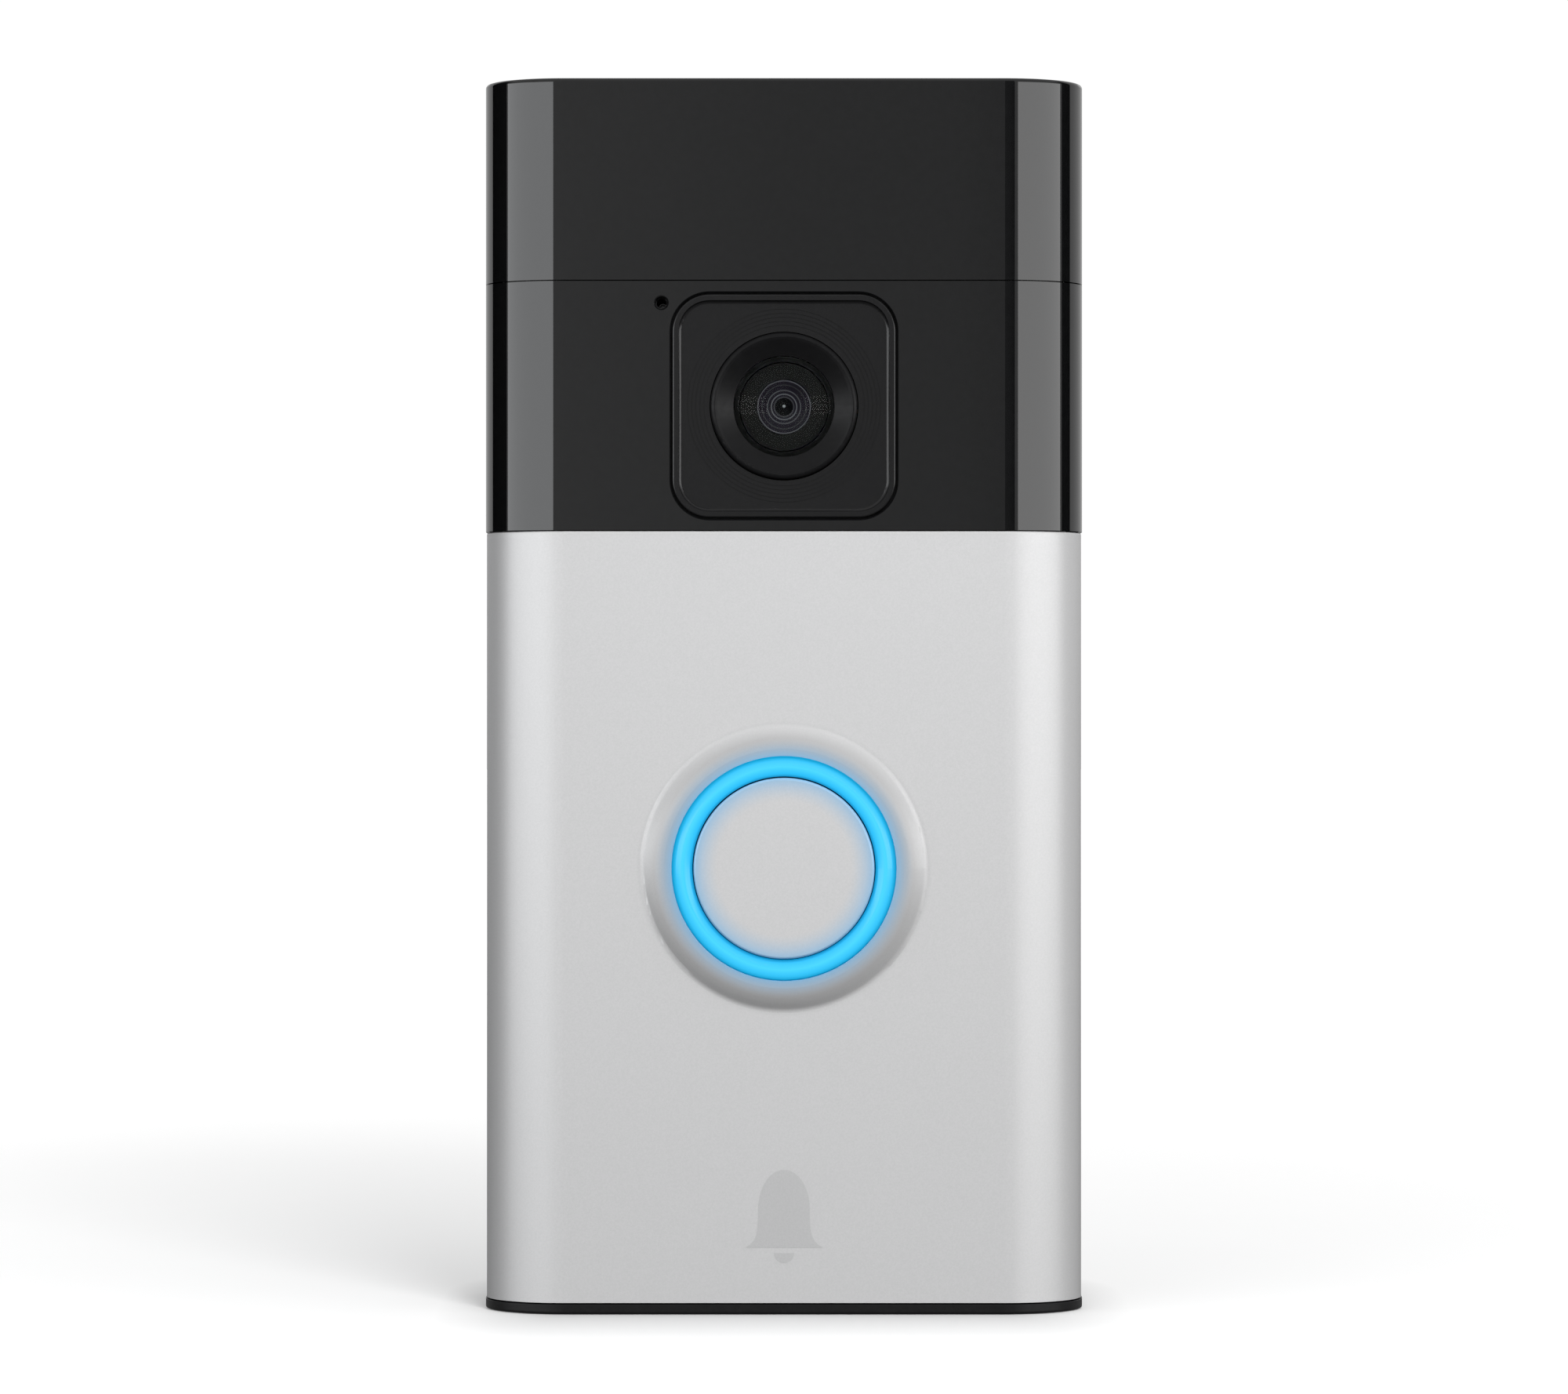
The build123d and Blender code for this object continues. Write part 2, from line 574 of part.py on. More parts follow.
# ---------------------------------------------------------------- rear housing
with BuildPart() as rear_housing:
    with BuildSketch(Plane.XY):
        with Locations((0, (REAR_FRONT_Y + RIM_Y) / 2)):
            rear_plan = Rectangle(WIDTH, RIM_Y - REAR_FRONT_Y)
        fillet(rear_plan.vertices().group_by(Axis.Y)[-1], REAR_CORNER_R)
    extrude(amount=HEIGHT)
    fillet(rear_housing.edges().filter_by(Plane.XY).group_by(Axis.Y)[-1], REAR_FILLET)
    # pocket for the bracket
    with BuildSketch(front_plane(RIM_Y)):
        with Locations((0, (POCKET_BOTTOM_Z + POCKET_TOP_Z) / 2)):
            RectangleRounded(2 * POCKET_HALF, POCKET_TOP_Z - POCKET_BOTTOM_Z, POCKET_R)
    extrude(amount=RIM_Y - FLOOR_BACK_Y, mode=Mode.SUBTRACT)
    # inside, open towards the front frame
    inner_half = WIDTH / 2 - INNER_INSET
    block(
        0,
        (POCKET_BOTTOM_Z + FRAME_ROOF_Z) / 2,
        2 * inner_half,
        FRAME_ROOF_Z - POCKET_BOTTOM_Z,
        REAR_FRONT_Y,
        FLOOR_FRONT_Y,
        mode=Mode.SUBTRACT,
    )
    # relief at the top of the rim, so that the doorbell can tilt without meeting the wall
    with BuildSketch(Plane.YZ):
        with BuildLine():
            Polyline(
                (RIM_Y, RELIEF_Z),
                (WALL_Y, RELIEF_Z),
                (WALL_Y, HEIGHT),
                (RIM_Y - RELIEF_DEPTH, HEIGHT),
                close=True,
            )
        make_face()
    extrude(amount=WIDTH, both=True, mode=Mode.SUBTRACT)
    # seats that rest on the bracket's hooks
    seat_w, seat_h, seat_front_y = SEAT_BLOCK
    pocket_h, pocket_front_y = SEAT_POCKET
    slot_w = HOOK_W + 2 * HOOK_SIDE_GAP
    for hook_x in (-HOOK_X, HOOK_X):
        block(hook_x, HINGE_Z + seat_h / 2, seat_w, seat_h, seat_front_y, FLOOR_FRONT_Y)
        block(
            hook_x,
            HINGE_Z - pocket_h / 2,
            slot_w,
            pocket_h,
            pocket_front_y,
            FLOOR_BACK_Y,
            mode=Mode.SUBTRACT,
        )
        with BuildSketch(Plane.YZ.offset(hook_x)):
            with Locations((HINGE_Y, HINGE_Z)):
                Circle(BEAD_R + BEAD_GAP)
        extrude(amount=slot_w / 2, both=True, mode=Mode.SUBTRACT)
    # guide window and pin hole of the release latch, with a slot for its spring
    spring_slot_w, *spring_slot_z = SPRING_SLOT
    for window_w, window_z in (
        (LATCH_W + 3 * LATCH_GAP, LATCH_WINDOW_Z),
        (spring_slot_w, spring_slot_z),
    ):
        block(
            0,
            centre(window_z),
            window_w,
            span(window_z),
            REAR_FRONT_Y,
            FLOOR_BACK_Y,
            mode=Mode.SUBTRACT,
        )
    with BuildSketch(Plane.XY):
        with Locations((0, PIN_Y)):
            Circle(PIN_R)
    extrude(amount=POCKET_BOTTOM_Z, mode=Mode.SUBTRACT)
    # holes for the housing screws, with recessed seats
    discs(HOUSING_SCREWS, HOUSING_HOLE_R, FLOOR_FRONT_Y, FLOOR_BACK_Y, mode=Mode.SUBTRACT)
    discs(HOUSING_SCREWS, HOUSING_HEAD_R, HOUSING_SEAT_Y, FLOOR_BACK_Y, mode=Mode.SUBTRACT)
    # openings for the charging port, the setup button and the terminals
    with BuildSketch(front_plane(FLOOR_BACK_Y)):
        with Locations((PORT_X, PORT_Z)):
            SlotOverall(PORT_SEAL_W, PORT_SEAL_H)
        with Locations((SETUP_X, SETUP_Z)):
            Circle(SETUP_R + SETUP_GAP)
        with Locations(*TERMINALS):
            Circle(TERMINAL_SHANK_R + TERMINAL_GAP)
    extrude(amount=FLOOR_BACK_Y - FLOOR_FRONT_Y, mode=Mode.SUBTRACT)
    # standoffs for the power board
    discs(POWER_SCREWS, STANDOFF_R, POWER_BACK_Y, FLOOR_FRONT_Y)
    discs(POWER_SCREWS, STANDOFF_BORE_R, POWER_BACK_Y, FLOOR_FRONT_Y, mode=Mode.SUBTRACT)

with BuildPart() as perimeter_seal:
    with BuildSketch(front_plane(REAR_FRONT_Y)):
        with Locations((0, (SEAL_BOTTOM_Z + FRAME_TOP_Z) / 2)):
            Rectangle(WIDTH - 2 * FRAME_INSET, FRAME_TOP_Z - SEAL_BOTTOM_Z)
        with Locations((0, (POCKET_BOTTOM_Z + FRAME_ROOF_Z) / 2)):
            Rectangle(2 * inner_half, FRAME_ROOF_Z - POCKET_BOTTOM_Z, mode=Mode.SUBTRACT)
    extrude(amount=REAR_FRONT_Y - FRAME_BACK_Y)

housing_screws = screws(HOUSING_SCREWS, HOUSING_SEAT_Y, 1, HOUSING_SCREW)

# ---------------------------------------------------------------- camera
with BuildPart() as camera_bezel:
    with BuildSketch(front_plane(BEZEL_BACK_Y)):
        with Locations((0, CAMERA_Z)):
            RectangleRounded(BEZEL_SIDE, BEZEL_SIDE, BEZEL_R)
    extrude(amount=BEZEL_BACK_Y - BEZEL_FRONT_Y)
    outer_rim = camera_bezel.faces().filter_by(Axis.Y).sort_by(Axis.Y)[0].outer_wire().edges()
    fillet(outer_rim, BEZEL_RIM_FILLET)
    with BuildSketch(front_plane(BEZEL_FLOOR_Y)):
        with Locations((0, CAMERA_Z)):
            RectangleRounded(
                BEZEL_SIDE - 2 * BEZEL_RIM, BEZEL_SIDE - 2 * BEZEL_RIM, BEZEL_R - BEZEL_RIM
            )
    extrude(amount=BEZEL_FLOOR_Y - BEZEL_FRONT_Y, mode=Mode.SUBTRACT)
    floor_face = camera_bezel.faces().filter_by(Axis.Y).sort_by(Axis.Y)[1]
    fillet(floor_face.outer_wire().edges(), BEZEL_FLOOR_FILLET)
    discs([(0, CAMERA_Z)], BEZEL_TUBE_R, BEZEL_BACK_Y, BEZEL_TUBE_BACK_Y)
    discs([(0, CAMERA_Z)], BEZEL_BORE_R, BEZEL_FRONT_Y, BEZEL_TUBE_BACK_Y, mode=Mode.SUBTRACT)
    # fine turned grooves round the lens
    for turn in range(GROOVE_COUNT):
        groove_r = GROOVES_FROM_R + turn * GROOVE_PITCH
        with BuildSketch(front_plane(BEZEL_FLOOR_Y)):
            with Locations((0, CAMERA_Z)):
                Circle(groove_r + GROOVE_WIDTH / 2)
                Circle(groove_r - GROOVE_WIDTH / 2, mode=Mode.SUBTRACT)
        extrude(amount=-GROOVE_DEPTH, mode=Mode.SUBTRACT)

with BuildPart() as lens_ring:
    with BuildSketch(radius_plane(0, CAMERA_Z)):
        with BuildLine():
            cone = Polyline(
                (LENS_RING_BORE_R, LENS_LEDGE_Y),
                (LENS_RING_BORE_R, LENS_RING_CONE_Y),
                (LENS_RING_R - LENS_RING_CONE_TOP, LENS_RING_CREST_Y + LENS_RING_CONE_DROP),
                (LENS_RING_R - LENS_RING_LAND, LENS_RING_CREST_Y),
            )
            shoulder = RadiusArc(
                cone @ 1, (LENS_RING_R, LENS_RING_CREST_Y + LENS_RING_ROUND), -LENS_RING_ROUND
            )
            Polyline(
                shoulder @ 1,
                (LENS_RING_R, LENS_RING_BACK_Y),
                (LENS_LEDGE_R, LENS_RING_BACK_Y),
                (LENS_LEDGE_R, LENS_LEDGE_Y),
                cone @ 0,
            )
        make_face()
    revolve(axis=depth_axis(0, CAMERA_Z))


def lens(rim_r, front_y, crest, edge_y, hollow=0.0):
    """Round lens: a domed front of height crest, a cylindrical edge, and a flat or hollow back."""
    with BuildPart() as element:
        with BuildSketch(radius_plane(0, CAMERA_Z)):
            with BuildLine():
                SagittaArc((-rim_r, front_y + crest), (rim_r, front_y + crest), -crest)
                Line((rim_r, front_y + crest), (rim_r, edge_y))
                if hollow:
                    SagittaArc((rim_r, edge_y), (-rim_r, edge_y), hollow)
                else:
                    Line((rim_r, edge_y), (-rim_r, edge_y))
                Line((-rim_r, edge_y), (-rim_r, front_y + crest))
            make_face()
            split(bisect_by=Plane.YZ)
        revolve(axis=depth_axis(0, CAMERA_Z))
    return element


lens_window = lens(
    WINDOW_R,
    WINDOW_CREST_Y,
    WINDOW_EDGE_Y - WINDOW_CREST_Y,
    LENS_LEDGE_Y,
    hollow=LENS_LEDGE_Y - WINDOW_CREST_Y - WINDOW_THICKNESS,
)
front_lens = lens(FRONT_LENS_R, FRONT_LENS_Y[0], FRONT_LENS_DOME, FRONT_LENS_Y[1])
inner_lens = lens(INNER_LENS_R, INNER_LENS_Y[0], INNER_LENS_DOME, INNER_LENS_Y[1])

with BuildPart() as lens_spacer:
    with BuildSketch(front_plane(SPACER_Y[1])):
        with Locations((0, CAMERA_Z)):
            Circle(FRONT_LENS_R)
            Circle(SPACER_R, mode=Mode.SUBTRACT)
    extrude(amount=span(SPACER_Y))

with BuildPart() as lens_barrel:
    discs([(0, CAMERA_Z)], BARREL_R, BARREL_FRONT_Y, BARREL_BACK_Y)
    bore_front_y = BARREL_FRONT_Y
    for bore_r, bore_back_y in BARREL_BORES:
        discs([(0, CAMERA_Z)], bore_r, bore_front_y, bore_back_y, mode=Mode.SUBTRACT)
        bore_front_y = bore_back_y

camera_board_front_y = CAMERA_BOARD_BACK_Y - BOARD_T
camera_board = board(
    CAMERA_BOARD_HALF, CAMERA_BOARD_Z, camera_board_front_y, CAMERA_BOARD_BACK_Y
)

with BuildPart() as lens_holder:
    hollow_side, hollow_depth = HOLDER_HOLLOW
    hollow_front_y = camera_board_front_y - hollow_depth
    block(0, CAMERA_Z, HOLDER_SIDE, HOLDER_SIDE, HOLDER_FRONT_Y, camera_board_front_y)
    discs([(0, CAMERA_Z)], BARREL_R + CLEARANCE / 2, HOLDER_FRONT_Y, hollow_front_y, mode=Mode.SUBTRACT)
    block(
        0,
        CAMERA_Z,
        hollow_side,
        hollow_side,
        hollow_front_y,
        camera_board_front_y,
        mode=Mode.SUBTRACT,
    )

with BuildPart() as image_sensor:
    chip_w, chip_h, chip_t = SENSOR_CHIP
    dish_w, dish_h, dish_depth = SENSOR_DISH
    chip_front_y = camera_board_front_y - chip_t
    block(0, CAMERA_Z, chip_w, chip_h, chip_front_y, camera_board_front_y)
    block(0, CAMERA_Z, dish_w, dish_h, chip_front_y, chip_front_y + dish_depth, mode=Mode.SUBTRACT)

with BuildPart() as infrared_lamps:
    lamp_base_r, lamp_base_h = LAMP_BASE
    dome_h, dome_slope = LAMP_DOME
    lamp_base_y = camera_board_front_y - lamp_base_h
    dome_y = lamp_base_y - LAMP_BARREL_H
    discs(LAMP_PLACES, lamp_base_r, lamp_base_y, camera_board_front_y)
    discs(LAMP_PLACES, LAMP_R, dome_y, lamp_base_y)
    with BuildSketch(front_plane(dome_y)):
        with Locations(*LAMP_PLACES):
            Circle(LAMP_R)
    extrude(amount=dome_h, taper=dome_slope)

with BuildPart() as microphone:
    microphone_w, microphone_h, microphone_t = MICROPHONE_CHIP
    port_r, port_depth = MICROPHONE_PORT
    microphone_y = camera_board_front_y - microphone_t
    chip_z = MICROPHONE_Z - MICROPHONE_CHIP_DROP
    block(MICROPHONE_X, chip_z, microphone_w, microphone_h, microphone_y, camera_board_front_y)
    discs(MICROPHONE_PLACE, port_r, microphone_y, microphone_y + port_depth, mode=Mode.SUBTRACT)

with BuildPart() as microphone_boot:
    boot_front_y = FRONT_Y + COVER_WALL
    discs(MICROPHONE_PLACE, BOOT_R, boot_front_y, microphone_y)
    discs(MICROPHONE_PLACE, BOOT_BORE_R, boot_front_y, microphone_y, mode=Mode.SUBTRACT)

# ---------------------------------------------------------------- motion sensing
with BuildPart() as motion_lens:
    motion_front_y = FRAME_FRONT_Y + CLEARANCE
    motion_back_y = motion_front_y + MOTION_T
    block(0, MOTION_Z, MOTION_W, MOTION_H, motion_front_y, motion_back_y)
    # ridges of the facet rows on the inner face
    with BuildSketch(front_plane(motion_back_y + FACET_H)):
        with Locations((0, MOTION_Z)):
            with GridLocations(FACET_PITCH, 1, FACET_COUNT, 1):
                Rectangle(FACET_W, MOTION_H - 2 * FACET_MARGIN)
    extrude(amount=FACET_H)

with BuildPart() as motion_sensors:
    flange_r, flange_t = SENSOR_FLANGE
    pane_w, pane_h, pane_depth = SENSOR_WINDOW
    flange_y = camera_board_front_y - flange_t
    sensor_front_y = camera_board_front_y - SENSOR_H
    sensor_z = MOTION_Z - SENSOR_DROP
    sensor_places = [(-SENSOR_X, sensor_z), (SENSOR_X, sensor_z)]
    discs(sensor_places, flange_r, flange_y, camera_board_front_y)
    discs(sensor_places, SENSOR_R, sensor_front_y, flange_y)
    for sensor_x, _ in sensor_places:
        block(
            sensor_x,
            sensor_z,
            pane_w,
            pane_h,
            sensor_front_y,
            sensor_front_y + pane_depth,
            mode=Mode.SUBTRACT,
        )

sensor_board = board(
    CAMERA_BOARD_HALF, SENSOR_BOARD_Z, camera_board_front_y, CAMERA_BOARD_BACK_Y
)

flex_back_y = CAMERA_BOARD_BACK_Y + RIBBON_T / 2
sensor_flex = ribbon(
    0,
    [
        (flex_back_y, 111.0),
        (flex_back_y, 108.8),
        (flex_back_y + 1.6, 107.6),
        (flex_back_y + 1.6, 105.9),
        (flex_back_y, 104.7),
        (flex_back_y, 102.5),
    ],
    SENSOR_FLEX_BEND,
)
main_flex_y = MAIN_BACK_Y + RIBBON_T / 2
camera_flex = ribbon(
    CAMERA_FLEX_X,
    [(flex_back_y, 87.0), (flex_back_y, 80.6), (main_flex_y, 79.2), (main_flex_y, 74.5)],
    CAMERA_FLEX_BEND,
)

# ---------------------------------------------------------------- ring, button and its switch
with BuildPart() as light_ring:
    with BuildSketch(radius_plane(0, RING_Z)):
        with BuildLine():
            ThreePointArc(
                (RING_IN_R, RING_SHOULDER_Y),
                ((RING_IN_R + RING_OUT_R) / 2, RING_CREST_Y),
                (RING_OUT_R, RING_SHOULDER_Y),
            )
            Polyline(
                (RING_OUT_R, RING_SHOULDER_Y),
                (RING_OUT_R, RING_FLANGE_Y),
                (RING_FLANGE_R, RING_FLANGE_Y),
                (RING_FLANGE_R, RING_BACK_Y),
                (RING_IN_R, RING_BACK_Y),
                (RING_IN_R, RING_SHOULDER_Y),
            )
        make_face()
    revolve(axis=depth_axis(0, RING_Z))

with BuildPart() as ring_gasket:
    with BuildSketch(front_plane(RING_FLANGE_Y)):
        with Locations((0, RING_Z)):
            Circle(RING_FLANGE_R)
            Circle(RING_OUT_R + RING_GASKET_GAP, mode=Mode.SUBTRACT)
    extrude(amount=RING_FLANGE_Y - FRAME_INNER_Y)

with BuildPart() as button_cap:
    with BuildSketch(radius_plane(0, RING_Z)):
        with BuildLine():
            inner_y = BUTTON_Y + BUTTON_WALL
            Polyline(
                (0, BUTTON_Y),
                (BUTTON_R, BUTTON_Y),
                (BUTTON_R, BUTTON_FLANGE_Y),
                (BUTTON_FLANGE_R, BUTTON_FLANGE_Y),
                (BUTTON_FLANGE_R, BUTTON_BACK_Y),
                (BUTTON_R - BUTTON_WALL, BUTTON_BACK_Y),
                (BUTTON_R - BUTTON_WALL, inner_y),
                (POST_R, inner_y),
                (POST_R, PLUNGER_FRONT_Y),
                (0, PLUNGER_FRONT_Y),
                close=True,
            )
        make_face()
        with Locations((BUTTON_R, SEAL_Y)):
            Rectangle(*SEAL_GROOVE, mode=Mode.SUBTRACT)
    revolve(axis=depth_axis(0, RING_Z))
    front_edge = button_cap.edges().filter_by(GeomType.CIRCLE).sort_by(Axis.Y)[0]
    fillet(front_edge, BUTTON_FILLET)

with BuildPart() as button_seal:
    with BuildSketch(radius_plane(0, RING_Z)):
        with Locations((SEAL_R, SEAL_Y)):
            Circle(SEAL_SECTION_R)
    revolve(axis=depth_axis(0, RING_Z))

main_front_y = MAIN_BACK_Y - BOARD_T
with BuildPart() as button_switch:
    block(0, RING_Z, SWITCH_SIDE, SWITCH_SIDE, SWITCH_FRONT_Y, main_front_y)
    chamfer(button_switch.edges().filter_by(Axis.Y), SWITCH_CHAMFER)
    well_y = SWITCH_FRONT_Y + SWITCH_WELL
    discs([(0, RING_Z)], PLUNGER_R + CLEARANCE, SWITCH_FRONT_Y, well_y, mode=Mode.SUBTRACT)

with BuildPart() as button_plunger:
    discs([(0, RING_Z)], PLUNGER_R, PLUNGER_FRONT_Y, SWITCH_FRONT_Y + PLUNGER_IN)

with BuildPart() as ring_lamps:
    with BuildSketch(front_plane(main_front_y)):
        with Locations((0, RING_Z)):
            with PolarLocations(RING_LAMP_R, RING_LAMP_COUNT):
                Rectangle(RING_LAMP_SIDE, RING_LAMP_SIDE)
    extrude(amount=RING_LAMP_H)

# ---------------------------------------------------------------- main board
with BuildPart() as main_board:
    block(
        0,
        (MAIN_BOTTOM_Z + MAIN_TOP_Z) / 2,
        2 * MAIN_HALF,
        MAIN_TOP_Z - MAIN_BOTTOM_Z,
        main_front_y,
        MAIN_BACK_Y,
    )
    fillet(main_board.edges().filter_by(Axis.Y), MAIN_R)
    discs(MAIN_SCREWS, BOARD_HOLE_R, main_front_y, MAIN_BACK_Y, mode=Mode.SUBTRACT)

main_screws = screws(MAIN_SCREWS, MAIN_BACK_Y, 1, BOARD_SCREW)
power_screws = screws(POWER_SCREWS, POWER_FRONT_Y, -1, BOARD_SCREW)
with BuildPart() as board_screws:
    add(main_screws.part)
    add(power_screws.part)


def shield(x, z, width, height):
    """Folded tin cover over part of the main board."""
    with BuildPart() as can:
        block(x, z, width, height, MAIN_BACK_Y, MAIN_BACK_Y + SHIELD_H)
        chamfer(can.faces().sort_by(Axis.Y)[-1].edges(), SHIELD_CHAMFER)
        block(
            x,
            z,
            width - 2 * SHIELD_WALL,
            height - 2 * SHIELD_WALL,
            MAIN_BACK_Y,
            MAIN_BACK_Y + SHIELD_H - SHIELD_WALL,
            mode=Mode.SUBTRACT,
        )
    return can


processor_shield = shield(*PROCESSOR_SHIELD)
radio_shield = shield(*RADIO_SHIELD)

# ---------------------------------------------------------------- aerial
with BuildPart() as aerial:
    aerial_x = inner_half - AERIAL_T / 2
    block(aerial_x, centre(AERIAL_Z), AERIAL_T, span(AERIAL_Z), *AERIAL_Y)

# from the aerial, over the top of the main board, down to the radio's shield
aerial_lead = wire(
    [
        (27.0, -3.0, 85.5),
        (27.0, -3.0, 79.6),
        (19.5, -5.5, 79.2),
        (14.0, -5.5, 77.4),
        (14.0, -5.5, 68.2),
    ],
    AERIAL_LEAD_BENDS,
    WIRE_R,
)

# ---------------------------------------------------------------- battery
with BuildPart() as battery_pack:
    block(
        0,
        (BATTERY_BOTTOM_Z + BATTERY_TOP_Z) / 2,
        BATTERY_W,
        BATTERY_TOP_Z - BATTERY_BOTTOM_Z,
        BATTERY_FRONT_Y,
        BATTERY_BACK_Y,
    )
    fillet(battery_pack.edges().filter_by(Axis.Z), BATTERY_FILLET)

with BuildPart() as board_plugs:
    plug_w, plug_h, plug_t = PLUG
    plug_back_y = MAIN_BACK_Y + plug_t
    for plug_x in (-PLUG_X, PLUG_X):
        block(plug_x, PLUG_Z, plug_w, plug_h, MAIN_BACK_Y, plug_back_y)
    chamfer(board_plugs.faces().sort_by(Axis.Y)[-2:].edges(), PLUG_CHAMFER)

battery_lead = wire_pair(
    PLUG_X,
    [(BATTERY_LEAD_Y, BATTERY_BOTTOM_Z), (BATTERY_LEAD_Y, PLUG_Z), (plug_back_y, PLUG_Z)],
    BATTERY_LEAD_BEND,
)

# ---------------------------------------------------------------- speaker
with BuildPart() as speaker_mesh:
    with BuildSketch(Plane.XY.offset(BASE_FLOOR_Z)):
        with Locations((0, SPEAKER_Y)):
            Rectangle(SPEAKER_W, SPEAKER_D)
    extrude(amount=MESH_TOP_Z - BASE_FLOOR_Z)

with BuildPart() as speaker_gasket:
    with BuildSketch(Plane.XY.offset(MESH_TOP_Z)):
        with Locations((0, SPEAKER_Y)):
            Rectangle(SPEAKER_W, SPEAKER_D)
            Rectangle(SPEAKER_OPEN_W, SPEAKER_OPEN_D, mode=Mode.SUBTRACT)
    extrude(amount=GASKET_TOP_Z - MESH_TOP_Z)

with BuildPart() as speaker_frame:
    with BuildSketch(Plane.XY.offset(GASKET_TOP_Z)):
        with Locations((0, SPEAKER_Y)):
            RectangleRounded(SPEAKER_W, SPEAKER_D, SPEAKER_R)
    extrude(amount=SPEAKER_TOP_Z - GASKET_TOP_Z)
    with BuildSketch(Plane.XY.offset(GASKET_TOP_Z)):
        with Locations((0, SPEAKER_Y)):
            SlotOverall(SPEAKER_OPEN_W, SPEAKER_OPEN_D)
    extrude(amount=SPEAKER_STEP_Z - GASKET_TOP_Z, mode=Mode.SUBTRACT)
    pocket_w, pocket_d, pocket_h = MAGNET_POCKET
    with BuildSketch(Plane.XY.offset(SPEAKER_STEP_Z)):
        with Locations((0, SPEAKER_Y)):
            Rectangle(pocket_w, pocket_d)
    extrude(amount=pocket_h, mode=Mode.SUBTRACT)

with BuildPart() as speaker_cone:
    dish_l, dish_w, dish_depth, dish_slope = CONE_DISH
    with BuildSketch(Plane.XY.offset(CONE_Z)):
        with Locations((0, SPEAKER_Y)):
            SlotOverall(SPEAKER_OPEN_W - CONE_GAP, SPEAKER_OPEN_D - CONE_GAP)
    extrude(amount=CONE_T)
    with BuildSketch(Plane.XY.offset(CONE_Z)):
        with Locations((0, SPEAKER_Y)):
            SlotOverall(dish_l, dish_w)
    extrude(amount=-dish_depth, taper=dish_slope)

with BuildPart() as speaker_magnet:
    magnet_w, magnet_d, magnet_h = MAGNET
    with BuildSketch(Plane.XY.offset(SPEAKER_STEP_Z)):
        with Locations((0, SPEAKER_Y)):
            Rectangle(magnet_w, magnet_d)
    extrude(amount=magnet_h)

speaker_lead = wire_pair(
    -PLUG_X,
    [(SPEAKER_Y, SPEAKER_TOP_Z), (SPEAKER_Y, PLUG_Z), (plug_back_y, PLUG_Z)],
    SPEAKER_LEAD_BEND,
)

# ---------------------------------------------------------------- power board
with BuildPart() as power_board:
    block(0, centre(POWER_Z), 2 * POWER_HALF, span(POWER_Z), POWER_FRONT_Y, POWER_BACK_Y)
    fillet(power_board.edges().filter_by(Axis.Y), POWER_R)
    discs(POWER_SCREWS, BOARD_HOLE_R, POWER_FRONT_Y, POWER_BACK_Y, mode=Mode.SUBTRACT)

with BuildPart() as charging_port:
    port_back_y = FLOOR_BACK_Y - PORT_INSET
    with BuildSketch(front_plane(port_back_y)):
        with Locations((PORT_X, PORT_Z)):
            SlotOverall(PORT_W, PORT_H)
    extrude(amount=port_back_y - POWER_BACK_Y)
    with BuildSketch(front_plane(port_back_y)):
        with Locations((PORT_X, PORT_Z)):
            SlotOverall(PORT_W - 2 * PORT_WALL, PORT_H - 2 * PORT_WALL)
            Rectangle(*PORT_TONGUE, mode=Mode.SUBTRACT)
    extrude(amount=PORT_DEPTH, mode=Mode.SUBTRACT)
    # the tongue ends short of the mouth
    tongue_w, tongue_h = PORT_TONGUE
    block(
        PORT_X,
        PORT_Z,
        tongue_w + CLEARANCE,
        tongue_h + CLEARANCE,
        port_back_y - PORT_TONGUE_SHORT,
        port_back_y,
        mode=Mode.SUBTRACT,
    )

with BuildPart() as port_seal:
    seal_back_y = FLOOR_BACK_Y - 2 * PORT_INSET
    with BuildSketch(front_plane(seal_back_y)):
        with Locations((PORT_X, PORT_Z)):
            SlotOverall(PORT_SEAL_W, PORT_SEAL_H)
            SlotOverall(PORT_W, PORT_H, mode=Mode.SUBTRACT)
    extrude(amount=seal_back_y - FLOOR_FRONT_Y)

with BuildPart() as setup_switch:
    block(SETUP_X, SETUP_Z, SWITCH_SIDE, SWITCH_SIDE, POWER_BACK_Y, SETUP_SWITCH_BACK_Y)
    chamfer(setup_switch.edges().filter_by(Axis.Y), SWITCH_CHAMFER)
    discs(
        [(SETUP_X, SETUP_Z)],
        SETUP_PLUNGER_R + CLEARANCE,
        SETUP_SWITCH_BACK_Y - SETUP_SWITCH_WELL,
        SETUP_SWITCH_BACK_Y,
        mode=Mode.SUBTRACT,
    )

with BuildPart() as setup_plunger:
    plunger_front_y = SETUP_SWITCH_BACK_Y - SETUP_PLUNGER_IN
    discs([(SETUP_X, SETUP_Z)], SETUP_PLUNGER_R, plunger_front_y, SETUP_PLUNGER_BACK_Y)

with BuildPart() as setup_button:
    discs([(SETUP_X, SETUP_Z)], SETUP_R, SETUP_PLUNGER_BACK_Y, SETUP_CAP_Y)
    fillet(setup_button.edges().sort_by(Axis.Y)[-1], SETUP_FILLET)
    flange_back_y = SETUP_PLUNGER_BACK_Y + SETUP_FLANGE_T
    discs([(SETUP_X, SETUP_Z)], SETUP_FLANGE_R, SETUP_PLUNGER_BACK_Y, flange_back_y)

